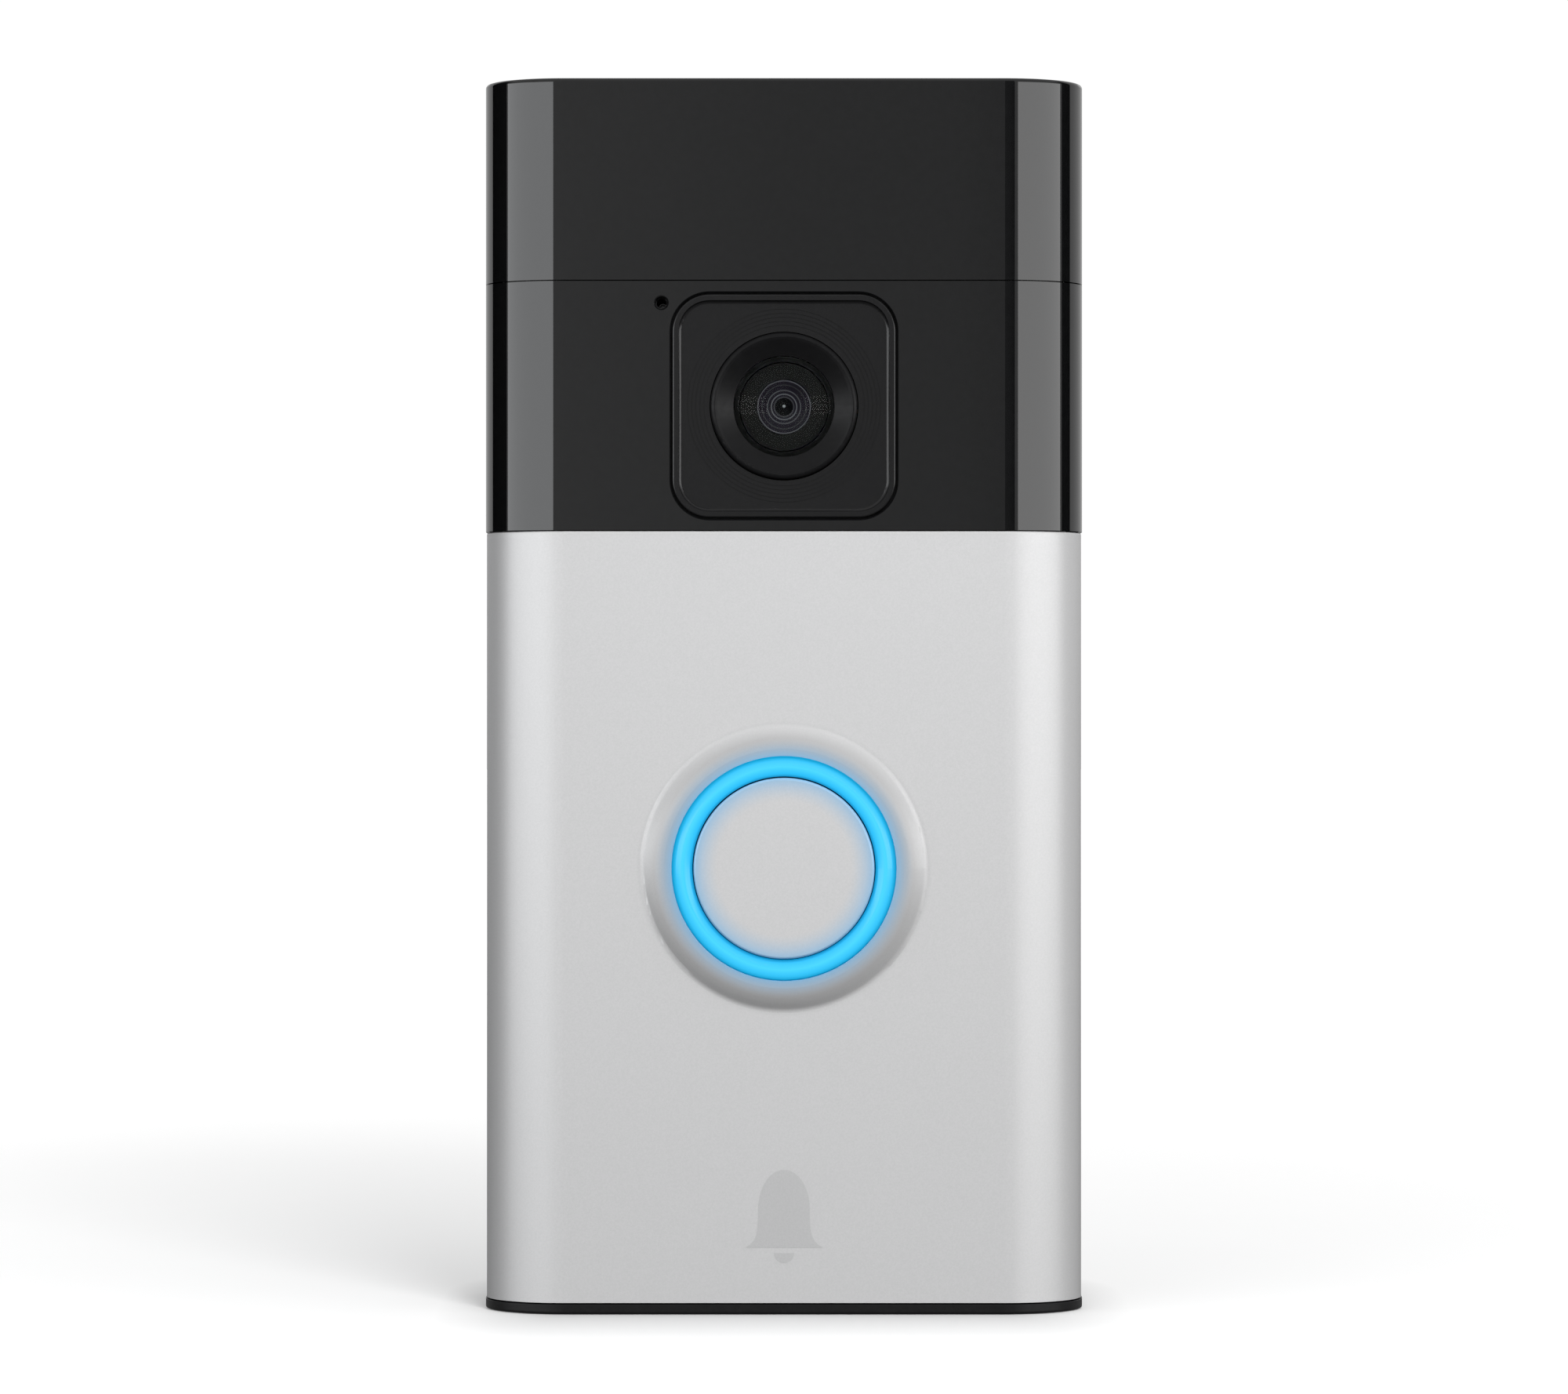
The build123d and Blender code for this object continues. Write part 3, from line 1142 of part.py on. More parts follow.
# from the power board, over the battery, to the main board
power_flex_y = POWER_FRONT_Y - RIBBON_T / 2
power_flex = ribbon(
    POWER_FLEX_X,
    [
        (power_flex_y, 86.0),
        (power_flex_y, 79.6),
        (2.0, 77.2),
        (-4.6, 77.2),
        (main_flex_y, 75.6),
        (main_flex_y, 70.5),
    ],
    POWER_FLEX_BEND,
)

# ---------------------------------------------------------------- wire terminals
with BuildPart() as terminal_nuts:
    with BuildSketch(front_plane(FLOOR_FRONT_Y)):
        with Locations(*TERMINALS):
            RegularPolygon(NUT_R, 6, major_radius=False)
            Circle(TERMINAL_SHANK_R + NUT_GAP, mode=Mode.SUBTRACT)
    extrude(amount=FLOOR_FRONT_Y - POWER_BACK_Y)

with BuildPart() as terminal_plates:
    plate_back_y = FLOOR_BACK_Y + TERMINAL_PLATE_T
    with BuildSketch(front_plane(plate_back_y)):
        with Locations(*TERMINALS):
            RectangleRounded(TERMINAL_PLATE, TERMINAL_PLATE, TERMINAL_PLATE_R)
            Circle(TERMINAL_SHANK_R + TERMINAL_GAP, mode=Mode.SUBTRACT)
    extrude(amount=TERMINAL_PLATE_T)

terminal_screws = screws(TERMINALS, plate_back_y, 1, TERMINAL_SCREW)

# ---------------------------------------------------------------- release latch
with BuildPart() as release_latch:
    latch_middle = centre(LATCH_Z)
    latch_h = span(LATCH_Z)
    slide_y = FLOOR_FRONT_Y - LATCH_GAP
    block(0, latch_middle, LATCH_W, latch_h, slide_y, LATCH_BLOCK_BACK_Y)
    block(0, latch_middle, LATCH_W + 2 * LATCH_FLANGE, latch_h, LATCH_FRONT_Y, slide_y)
    # arm over the bracket's bar, with a tip that drops behind it
    block(0, centre(ARM_Z), TOOTH_W, span(ARM_Z), LATCH_BLOCK_BACK_Y, TOOTH_BACK_Y)
    block(0, centre(TIP_Z), TOOTH_W, span(TIP_Z), TOOTH_BACK_Y - TIP_T, TOOTH_BACK_Y)

with BuildPart() as latch_spring:
    with BuildLine(Plane.YZ) as bow:
        FilletPolyline(*SPRING_ROUTE, radius=SPRING_BEND_R)
    with BuildSketch(Plane(bow.line @ 0, x_dir=(1, 0, 0), z_dir=bow.line % 0)):
        Rectangle(SPRING_W, RIBBON_T)
    sweep(path=bow.line)

# ---------------------------------------------------------------- wall bracket
with BuildPart() as mounting_bracket:
    with BuildSketch(front_plane(WALL_Y)):
        with Locations((0, centre(BRACKET_Z))):
            RectangleRounded(BRACKET_W, span(BRACKET_Z), BRACKET_R)
        for window_w, window_h, window_z in (WIRE_WINDOW, LOWER_WINDOW):
            with Locations((0, window_z)):
                RectangleRounded(window_w, window_h, BRACKET_WINDOW_R, mode=Mode.SUBTRACT)
    extrude(amount=WALL_Y - BRACKET_FRONT_Y)
    bracket_front = mounting_bracket.faces().filter_by(Axis.Y).sort_by(Axis.Y)[0]
    chamfer(bracket_front.outer_wire().edges(), BRACKET_CHAMFER)
    # countersunk holes for the wall screws
    with Locations(front_plane(BRACKET_FRONT_Y)):
        with Locations((0, centre(BRACKET_Z))):
            with GridLocations(WALL_HOLE_X, WALL_HOLE_Z, 2, 2):
                CounterSinkHole(
                    WALL_HOLE_R,
                    WALL_SINK_R,
                    depth=WALL_Y - BRACKET_FRONT_Y,
                    counter_sink_angle=WALL_SINK_ANGLE,
                )
    # slot for the latch, with a recess behind the bar that the latch catches
    for cut_z, cut_front_y in (
        (LATCH_SLOT_Z, BRACKET_FRONT_Y),
        (BAR_Z, BRACKET_FRONT_Y + BAR_T),
    ):
        block(0, centre(cut_z), LATCH_SLOT_W, span(cut_z), cut_front_y, WALL_Y, mode=Mode.SUBTRACT)
    # hooks: an arm forwards and a round bead that the doorbell hangs on
    for hook_x in (-HOOK_X, HOOK_X):
        block(
            hook_x,
            centre(HOOK_ARM_Z),
            HOOK_W,
            span(HOOK_ARM_Z),
            HINGE_Y - HOOK_ARM_FRONT,
            BRACKET_FRONT_Y + HOOK_ARM_ROOT,
        )
        with BuildSketch(Plane.YZ.offset(hook_x)):
            with Locations((HINGE_Y, HINGE_Z)):
                Circle(BEAD_R)
        extrude(amount=HOOK_W / 2, both=True)

# ---------------------------------------------------------------- write the pieces
pieces = {
    "mounting_bracket": mounting_bracket,
    "faceplate": faceplate,
    "camera_cover": camera_cover,
    "top_cover": top_cover,
    "front_frame": front_frame,
    "rear_housing": rear_housing,
    "perimeter_seal": perimeter_seal,
    "housing_screws": housing_screws,
    "camera_bezel": camera_bezel,
    "lens_ring": lens_ring,
    "lens_window": lens_window,
    "lens_barrel": lens_barrel,
    "front_lens": front_lens,
    "lens_spacer": lens_spacer,
    "inner_lens": inner_lens,
    "lens_holder": lens_holder,
    "image_sensor": image_sensor,
    "camera_board": camera_board,
    "infrared_lamps": infrared_lamps,
    "microphone": microphone,
    "microphone_boot": microphone_boot,
    "motion_lens": motion_lens,
    "motion_sensors": motion_sensors,
    "sensor_board": sensor_board,
    "sensor_flex": sensor_flex,
    "camera_flex": camera_flex,
    "light_ring": light_ring,
    "ring_gasket": ring_gasket,
    "ring_lamps": ring_lamps,
    "button_cap": button_cap,
    "button_seal": button_seal,
    "button_switch": button_switch,
    "button_plunger": button_plunger,
    "main_board": main_board,
    "board_screws": board_screws,
    "processor_shield": processor_shield,
    "radio_shield": radio_shield,
    "aerial": aerial,
    "aerial_lead": aerial_lead,
    "battery_pack": battery_pack,
    "board_plugs": board_plugs,
    "battery_lead": battery_lead,
    "speaker_frame": speaker_frame,
    "speaker_cone": speaker_cone,
    "speaker_magnet": speaker_magnet,
    "speaker_gasket": speaker_gasket,
    "speaker_mesh": speaker_mesh,
    "speaker_lead": speaker_lead,
    "power_board": power_board,
    "power_flex": power_flex,
    "charging_port": charging_port,
    "port_seal": port_seal,
    "setup_switch": setup_switch,
    "setup_plunger": setup_plunger,
    "setup_button": setup_button,
    "terminal_nuts": terminal_nuts,
    "terminal_plates": terminal_plates,
    "terminal_screws": terminal_screws,
    "release_latch": release_latch,
    "latch_spring": latch_spring,
}

os.makedirs("parts", exist_ok=True)
for label, piece in pieces.items():
    piece.part.label = label
    export_step(piece.part, f"parts/{label}.step")
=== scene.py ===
from math import cos, exp, pi, radians, sin, sqrt, tan

import bpy
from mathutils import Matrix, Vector


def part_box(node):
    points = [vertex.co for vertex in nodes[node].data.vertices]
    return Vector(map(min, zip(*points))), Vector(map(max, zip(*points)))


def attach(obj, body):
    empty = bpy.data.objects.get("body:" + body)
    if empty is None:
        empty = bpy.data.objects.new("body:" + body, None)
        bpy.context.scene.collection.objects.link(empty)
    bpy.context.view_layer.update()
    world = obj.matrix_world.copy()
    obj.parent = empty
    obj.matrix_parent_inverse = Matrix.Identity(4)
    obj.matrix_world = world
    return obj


# Video doorbell: finishes, camera, floor and studio light. Metres, +Z up, the front faces -Y.

MM = 0.001

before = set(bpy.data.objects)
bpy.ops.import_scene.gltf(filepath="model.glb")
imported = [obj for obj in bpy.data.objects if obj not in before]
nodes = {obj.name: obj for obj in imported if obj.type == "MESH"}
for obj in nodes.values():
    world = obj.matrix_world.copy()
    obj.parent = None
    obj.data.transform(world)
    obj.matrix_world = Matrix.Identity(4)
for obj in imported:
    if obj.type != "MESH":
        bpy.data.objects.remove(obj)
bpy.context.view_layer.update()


# ---------------------------------------------------------------- node helpers
MIX_FACTOR = 0  # the Mix node's colour sockets, which share their names with its other ones
MIX_COLOURS = (6, 7)
MIX_RESULT = 2
WEAR_AND_HIGHLIGHT_SHARE = 0.6  # of the lighter colour on the very edge
WEAR_AND_HIGHLIGHT_TURN = (0.88, 0.995)  # cosines of the turn of the normal: fully lighter, and not at all


def set_stops(step, stops):
    """Gives a colour ramp its (position, colour) stops."""
    points = step.color_ramp.elements
    while len(points) < len(stops):
        points.new(0.5)
    for point, (position, colour) in zip(points, stops):
        point.position = position
        point.color = (*colour, 1.0)


class Finish:
    """A material under construction: one Principled shader and the textures that feed it.

    Sizes are in millimetres unless a line says otherwise.
    """

    def __init__(self, name, colour, roughness, metallic=0.0, **sockets):
        self.material = bpy.data.materials.new(name)
        self.material.use_nodes = True
        self.tree = self.material.node_tree
        self.tree.nodes.clear()
        self.output = self.tree.nodes.new("ShaderNodeOutputMaterial")
        self.shader = self.tree.nodes.new("ShaderNodeBsdfPrincipled")
        self.join(self.shader.outputs["BSDF"], self.output.inputs["Surface"])
        self.colour = colour
        self.roughness = roughness
        self.shader.inputs["Base Color"].default_value = (*colour, 1.0)
        self.shader.inputs["Roughness"].default_value = roughness
        self.shader.inputs["Metallic"].default_value = metallic
        for socket, value in sockets.items():
            self.shader.inputs[socket.replace("_", " ")].default_value = value
        self.normal = None

    def join(self, source, target):
        """Links an output to an input."""
        self.tree.links.new(source, target)

    def node(self, kind, **settings):
        """New node of a kind, with its settings."""
        made = self.tree.nodes.new(kind)
        for name, value in settings.items():
            setattr(made, name, value)
        return made

    def place(self, stretch=(1, 1, 1)):
        """Position on the piece in metres, stretched along each axis."""
        where = self.node("ShaderNodeTexCoord")
        mapping = self.node("ShaderNodeMapping")
        mapping.inputs["Scale"].default_value = stretch
        self.join(where.outputs["Object"], mapping.inputs["Vector"])
        return mapping.outputs["Vector"]

    def noise(self, size, detail=3.0, stretch=(1, 1, 1)):
        """Noise with features about size across."""
        texture = self.node("ShaderNodeTexNoise")
        texture.inputs["Scale"].default_value = 1 / (size * MM)
        texture.inputs["Detail"].default_value = detail
        self.join(self.place(stretch), texture.inputs["Vector"])
        return texture.outputs["Fac"]

    def cells(self, size):
        """Distance from the middle of the nearest cell, for cells about size across."""
        texture = self.node("ShaderNodeTexVoronoi")
        texture.inputs["Scale"].default_value = 1 / (size * MM)
        self.join(self.place(), texture.inputs["Vector"])
        return texture.outputs["Distance"]

    def maths(self, operation, *values):
        """Result of an operation on numbers or outputs of other nodes."""
        step = self.node("ShaderNodeMath", operation=operation)
        for socket, value in zip(step.inputs, values):
            if isinstance(value, (int, float)):
                socket.default_value = value
            else:
                self.join(value, socket)
        return step.outputs["Value"]

    def spread(self, value, low, high, from_low=0.3, from_high=0.7):
        """Maps a value from one range to another, clamped. The default is the range of most noise."""
        step = self.node("ShaderNodeMapRange")
        for name, number in (
            ("From Min", from_low),
            ("From Max", from_high),
            ("To Min", low),
            ("To Max", high),
        ):
            step.inputs[name].default_value = number
        self.join(value, step.inputs["Value"])
        return step.outputs["Result"]

    def ramp(self, value, stops):
        """Colour for a value, from (position, colour) stops."""
        step = self.node("ShaderNodeValToRGB")
        set_stops(step, stops)
        self.join(value, step.inputs["Fac"])
        return step.outputs["Color"]

    def mix(self, factor, first, second):
        """The first colour where the factor is 0 and the second where it is 1."""
        step = self.node("ShaderNodeMix", data_type="RGBA")
        self.join(factor, step.inputs[MIX_FACTOR])
        for index, value in zip(MIX_COLOURS, (first, second)):
            if isinstance(value, tuple):
                step.inputs[index].default_value = (*value, 1.0)
            else:
                self.join(value, step.inputs[index])
        return step.outputs[MIX_RESULT]

    def tint(self, factor, colour):
        """Mixes a colour over the base colour, even or textured."""
        target = self.shader.inputs["Base Color"]
        if target.is_linked:
            under = target.links[0].from_socket
        else:
            under = tuple(target.default_value)[:3]
        self.join(self.mix(factor, under, colour), target)

    def vary_colour(self, amount, size, detail=3.0):
        """Lighter and darker patches."""
        low = tuple(channel * (1 - amount) for channel in self.colour)
        high = tuple(min(1.0, channel * (1 + amount)) for channel in self.colour)
        patches = self.spread(self.noise(size, detail), 0.0, 1.0)
        self.join(self.mix(patches, low, high), self.shader.inputs["Base Color"])

    def vary_roughness(self, amount, size):
        """Duller and shinier patches."""
        low = max(0.0, self.roughness - amount)
        patches = self.spread(self.noise(size), low, self.roughness + amount)
        self.join(patches, self.shader.inputs["Roughness"])

    def round_edges(self, radius):
        """Softens the light on sharp edges."""
        bevel = self.node("ShaderNodeBevel", samples=4)
        bevel.inputs["Radius"].default_value = radius * MM
        self.normal = bevel.outputs["Normal"]
        self.join(self.normal, self.shader.inputs["Normal"])

    def worn_and_highlit_edges(self, radius, colour):
        """Rounded edges painted lighter, partly as wear and partly as a painted highlight: where the
        rounded normal leaves the true one.
        """
        self.round_edges(radius)
        geometry = self.node("ShaderNodeNewGeometry")
        product = self.node("ShaderNodeVectorMath", operation="DOT_PRODUCT")
        self.join(self.normal, product.inputs[0])
        self.join(geometry.outputs["Normal"], product.inputs[1])
        edge = self.spread(product.outputs["Value"], WEAR_AND_HIGHLIGHT_SHARE, 0.0, *WEAR_AND_HIGHLIGHT_TURN)
        self.tint(edge, colour)

    def relief(self, height, depth, strength):
        """Raised surface from a 0-1 height."""
        bump = self.node("ShaderNodeBump")
        bump.inputs["Strength"].default_value = strength
        bump.inputs["Distance"].default_value = depth * MM
        self.join(height, bump.inputs["Height"])
        if self.normal is not None:
            self.join(self.normal, bump.inputs["Normal"])
        self.normal = bump.outputs["Normal"]
        self.join(self.normal, self.shader.inputs["Normal"])

    def axis(self, name):
        """One coordinate of the place on the piece, in metres."""
        where = self.node("ShaderNodeTexCoord")
        parts = self.node("ShaderNodeSeparateXYZ")
        self.join(where.outputs["Object"], parts.inputs["Vector"])
        return parts.outputs[name]

    def stripes(self, axis, pitch, share):
        """1 on lines across an axis and 0 between them, from their pitch and a line's share of it."""
        phase = self.maths("FRACT", self.maths("MULTIPLY", self.axis(axis), 1 / (pitch * MM)))
        return self.maths("LESS_THAN", phase, share)

    def weave(self, first, second, pitch):
        """Height of a plain weave with threads along two axes."""
        threads = []
        for axis in (first, second):
            phase = self.maths("MULTIPLY", self.axis(axis), pi / (pitch * MM))
            threads.append(self.maths("ABSOLUTE", self.maths("SINE", phase)))
        return self.maths("MAXIMUM", *threads)

    def radius_from(self, x, z):
        """Distance from a line along Y through (x, z), which are in metres."""
        across = self.maths("SUBTRACT", self.axis("X"), x)
        up = self.maths("SUBTRACT", self.axis("Z"), z)
        square = self.maths("ADD", self.maths("MULTIPLY", across, across),
                            self.maths("MULTIPLY", up, up))
        return self.maths("MULTIPLY", self.maths("SQRT", square), 1 / MM)


def box_middle(node):
    """Middle of a node's box."""
    low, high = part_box(node)
    return (Vector(low) + Vector(high)) / 2


ring_middle = box_middle("light_ring")
lens_middle = box_middle("lens_ring")


# ---------------------------------------------------------------- outer finishes
# radii in millimetres from the middle of the lit ring
MOUND_RADII = (15.2, 13.4)  # the foot of the mound and its slope
FACE_GLOW = (13.4, 11.5)  # where the ring's light on the faceplate starts, and where it is full
BUTTON_GLOW = (6.8, 9.35)  # the same on the button
RING_BAND = (9.45, 11.4)  # inner and outer edge of the ring
# share and colour of the painted shade on the mound's slope
MOUND_SHADE = 0.50
MOUND_PAINTED_SHADE = (0.18, 0.18, 0.183)
# painted light from the ring: a bluer, darker tint on the base colour and a blue glow
RING_LIGHT_PAINTED_TINT = (0.12, 0.30, 0.46)
RING_LIGHT_PAINTED_GLOW = (0.0, 0.035, 0.09)
BLACK = (0.0, 0.0, 0.0)


def satin_nickel(name, glow, shade=0.0, colour=(0.44, 0.44, 0.443)):
    """Satin silver coat, with the lit ring's light painted on between two radii from the ring's middle,
    and painted shade over the mound where shade is given.
    """
    finish = Finish(name, colour, 0.38, metallic=0.20)
    finish.vary_colour(0.035, 0.16, 2.0)
    finish.vary_roughness(0.04, 0.25)
    finish.relief(finish.noise(0.16, 2.0), 0.001, 0.3)
    radius = finish.radius_from(ring_middle.x, ring_middle.z)
    if shade:
        # painted shade: the base colour is darkened over the raised mound's slope
        mound = finish.spread(radius, 0.0, shade, *MOUND_RADII)
        finish.tint(mound, MOUND_PAINTED_SHADE)
    # the ring's blue light painted on: the base colour is tinted bluer and darker near the ring, and
    # the coat glows blue there
    near = finish.maths("POWER", finish.spread(radius, 0.0, 1.0, *glow), 1.6)
    finish.tint(finish.maths("MULTIPLY", near, 0.75), RING_LIGHT_PAINTED_TINT)
    finish.join(finish.mix(near, BLACK, RING_LIGHT_PAINTED_GLOW), finish.shader.inputs["Emission Color"])
    finish.shader.inputs["Emission Strength"].default_value = 1.0
    return finish


def gloss_black():
    """Polished black covers, very slightly uneven."""
    finish = Finish("gloss_black", (0.0032, 0.0033, 0.0035), 0.035, Specular_IOR_Level=0.5)
    finish.vary_colour(0.12, 0.8)
    finish.vary_roughness(0.012, 1.6)
    finish.relief(finish.noise(1.4, 0.0), 0.0002, 0.3)
    return finish


def bezel_black():
    """Satin black of the camera bezel, with a fine grain."""
    finish = Finish("bezel_black", (0.0045, 0.0045, 0.0048), 0.22, Specular_IOR_Level=0.36)
    finish.vary_colour(0.10, 0.4)
    finish.vary_roughness(0.03, 0.3)
    finish.relief(finish.noise(0.08, 2.0), 0.0012, 0.4)
    return finish


def ring_blue():
    """Light guide: brightest along the middle of the band, deeper at both edges."""
    finish = Finish("ring_blue", (0.01, 0.05, 0.08), 0.22, Specular_IOR_Level=0.3)
    radius = finish.radius_from(ring_middle.x, ring_middle.z)
    band = finish.spread(radius, 0.0, 1.0, *RING_BAND)
    colour = finish.ramp(
        band,
        [
            (0.00, (0.002, 0.24, 0.50)),
            (0.14, (0.012, 0.48, 0.88)),
            (0.50, (0.055, 0.62, 1.00)),
            (0.84, (0.022, 0.50, 0.86)),
            (1.00, (0.006, 0.34, 0.62)),
        ],
    )
    finish.join(colour, finish.shader.inputs["Emission Color"])
    finish.shader.inputs["Emission Strength"].default_value = 1.0
    finish.vary_roughness(0.03, 0.5)
    finish.relief(finish.noise(0.3, 2.0), 0.002, 0.3)
    return finish


def window_glass():
    """Clear glass; its low index stands for the coating that keeps reflections off the lens."""
    finish = Finish("window_glass", (0.90, 0.94, 0.92), 0.02, Transmission_Weight=1.0, IOR=1.11)
    finish.vary_roughness(0.008, 1.0)
    return finish


def lens_coating():
    """Coated front element: the edges of the inner lenses show as pale rings round a dark pupil, which
    has a painted reflection as a bright spot in its middle.
    """
    finish = Finish("lens_coating", (0.02, 0.02, 0.02), 0.06, Specular_IOR_Level=0.06)
    radius = finish.radius_from(lens_middle.x, lens_middle.z)
    dark = (0.002, 0.002, 0.003)
    violet = (0.012, 0.009, 0.016)
    reach = 2.8  # radius of the element
    half_ring = 0.09
    bluer = 1.12
    # the first two stops are a painted reflection: a bright spot in the middle of the pupil
    stops = [(0.0, (0.45, 0.47, 0.50)), (0.12, (0.30, 0.31, 0.33)), (0.2, dark), (0.9, dark)]
    for ring, pale in ((1.0, 0.07), (1.3, 0.16), (1.7, 0.10), (2.25, 0.04), (2.7, 0.16)):
        stops.append((ring - half_ring, violet))
        stops.append((ring, (pale, pale, bluer * pale)))
        stops.append((ring + half_ring, violet))
    outwards = finish.spread(radius, 0.0, 1.0, 0.0, reach)
    bands = finish.ramp(outwards, [(place / reach, colour) for place, colour in stops])
    finish.join(bands, finish.shader.inputs["Base Color"])
    finish.vary_roughness(0.01, 0.6)
    return finish


def circuit_board(name, colour, trace):
    """Solder mask over copper traces that run both ways, with gilded pads."""
    finish = Finish(name, colour, 0.34)
    finish.vary_colour(0.12, 1.5)
    finish.vary_roughness(0.05, 1.0)
    pitch = 0.9
    share = 0.45  # of the pitch that a trace takes
    patch = 7.0  # size of the areas where the traces run one way
    gilt = (0.70, 0.52, 0.24)
    upright = finish.stripes("X", pitch, share)
    level = finish.stripes("Z", pitch, share)
    area = finish.maths("GREATER_THAN", finish.noise(patch, 0.0), 0.5)
    traces = finish.maths("MULTIPLY_ADD", area, finish.maths("SUBTRACT", upright, level), level)
    finish.tint(traces, trace)
    pads = finish.maths("LESS_THAN", finish.cells(2.2), 0.18)
    finish.tint(pads, gilt)
    finish.relief(finish.maths("MAXIMUM", traces, pads), 0.03, 0.6)
    return finish


def flex_film():
    """Amber film over parallel copper lines."""
    finish = Finish("flex_amber", (0.22, 0.085, 0.015), 0.30)
    finish.vary_colour(0.12, 1.2)
    lines = finish.stripes("X", 0.8, 0.55)
    finish.tint(lines, (0.48, 0.20, 0.06))
    finish.relief(lines, 0.02, 0.5)
    return finish


def woven_mesh():
    """Dust mesh of fine black threads."""
    finish = Finish("mesh_black", (0.012, 0.012, 0.013), 0.65)
    threads = finish.weave("X", "Y", 0.3)
    finish.tint(threads, (0.035, 0.035, 0.037))
    finish.relief(threads, 0.08, 0.8)
    return finish


def fresnel_white():
    """Milky motion lens: each facet carries its own fine curved grooves."""
    finish = Finish("motion_lens_white", (0.70, 0.70, 0.67), 0.35, Subsurface_Weight=0.3)
    finish.shader.inputs["Subsurface Scale"].default_value = MM
    finish.vary_colour(0.04, 1.2)
    facet = 4.0  # width of a facet
    groove = 0.45
    middle = box_middle("motion_lens")
    along = finish.maths("FRACT", finish.maths("MULTIPLY", finish.axis("X"), 1 / (facet * MM)))
    across = finish.maths("MULTIPLY", finish.maths("SUBTRACT", along, 0.5), facet)
    up = finish.maths("MULTIPLY", finish.maths("SUBTRACT", finish.axis("Z"), middle.z), 1 / MM)
    square = finish.maths("MULTIPLY_ADD", across, across, finish.maths("MULTIPLY", up, up))
    radius = finish.maths("SQRT", square)
    finish.relief(finish.maths("FRACT", finish.maths("MULTIPLY", radius, 1 / groove)), 0.06, 0.7)
    return finish


def wrapped_foil():
    """Battery's shrink film over foil: long soft creases and a dull sheen."""
    finish = Finish("battery_foil", (0.10, 0.115, 0.13), 0.30, metallic=0.35)
    finish.vary_colour(0.15, 6.0)
    finish.vary_roughness(0.10, 3.0)
    finish.round_edges(0.3)
    finish.relief(finish.noise(2.4, 3.0, stretch=(1, 1, 0.35)), 0.06, 0.5)
    finish.relief(finish.noise(0.2, 2.0), 0.003, 0.4)
    return finish


def plain(name, colour, roughness, metallic=0.0, patch=0.8, grain=0.12, depth=0.002,
          wear_and_highlight=None, edge=0.12, **sockets):
    """Moulded, turned or rolled stock: slight patches, a fine grain, and edges painted lighter, partly
    as wear and partly as a painted highlight.
    """
    finish = Finish(name, colour, roughness, metallic, **sockets)
    finish.vary_colour(0.10, patch)
    finish.vary_roughness(0.05, patch * 0.6)
    # lighter edges: partly wear, partly a painted highlight on the rounding
    if wear_and_highlight is not None:
        finish.worn_and_highlit_edges(edge, wear_and_highlight)
    elif edge:
        finish.round_edges(edge)
    finish.relief(finish.noise(grain, 2.0), depth, 0.5)
    return finish


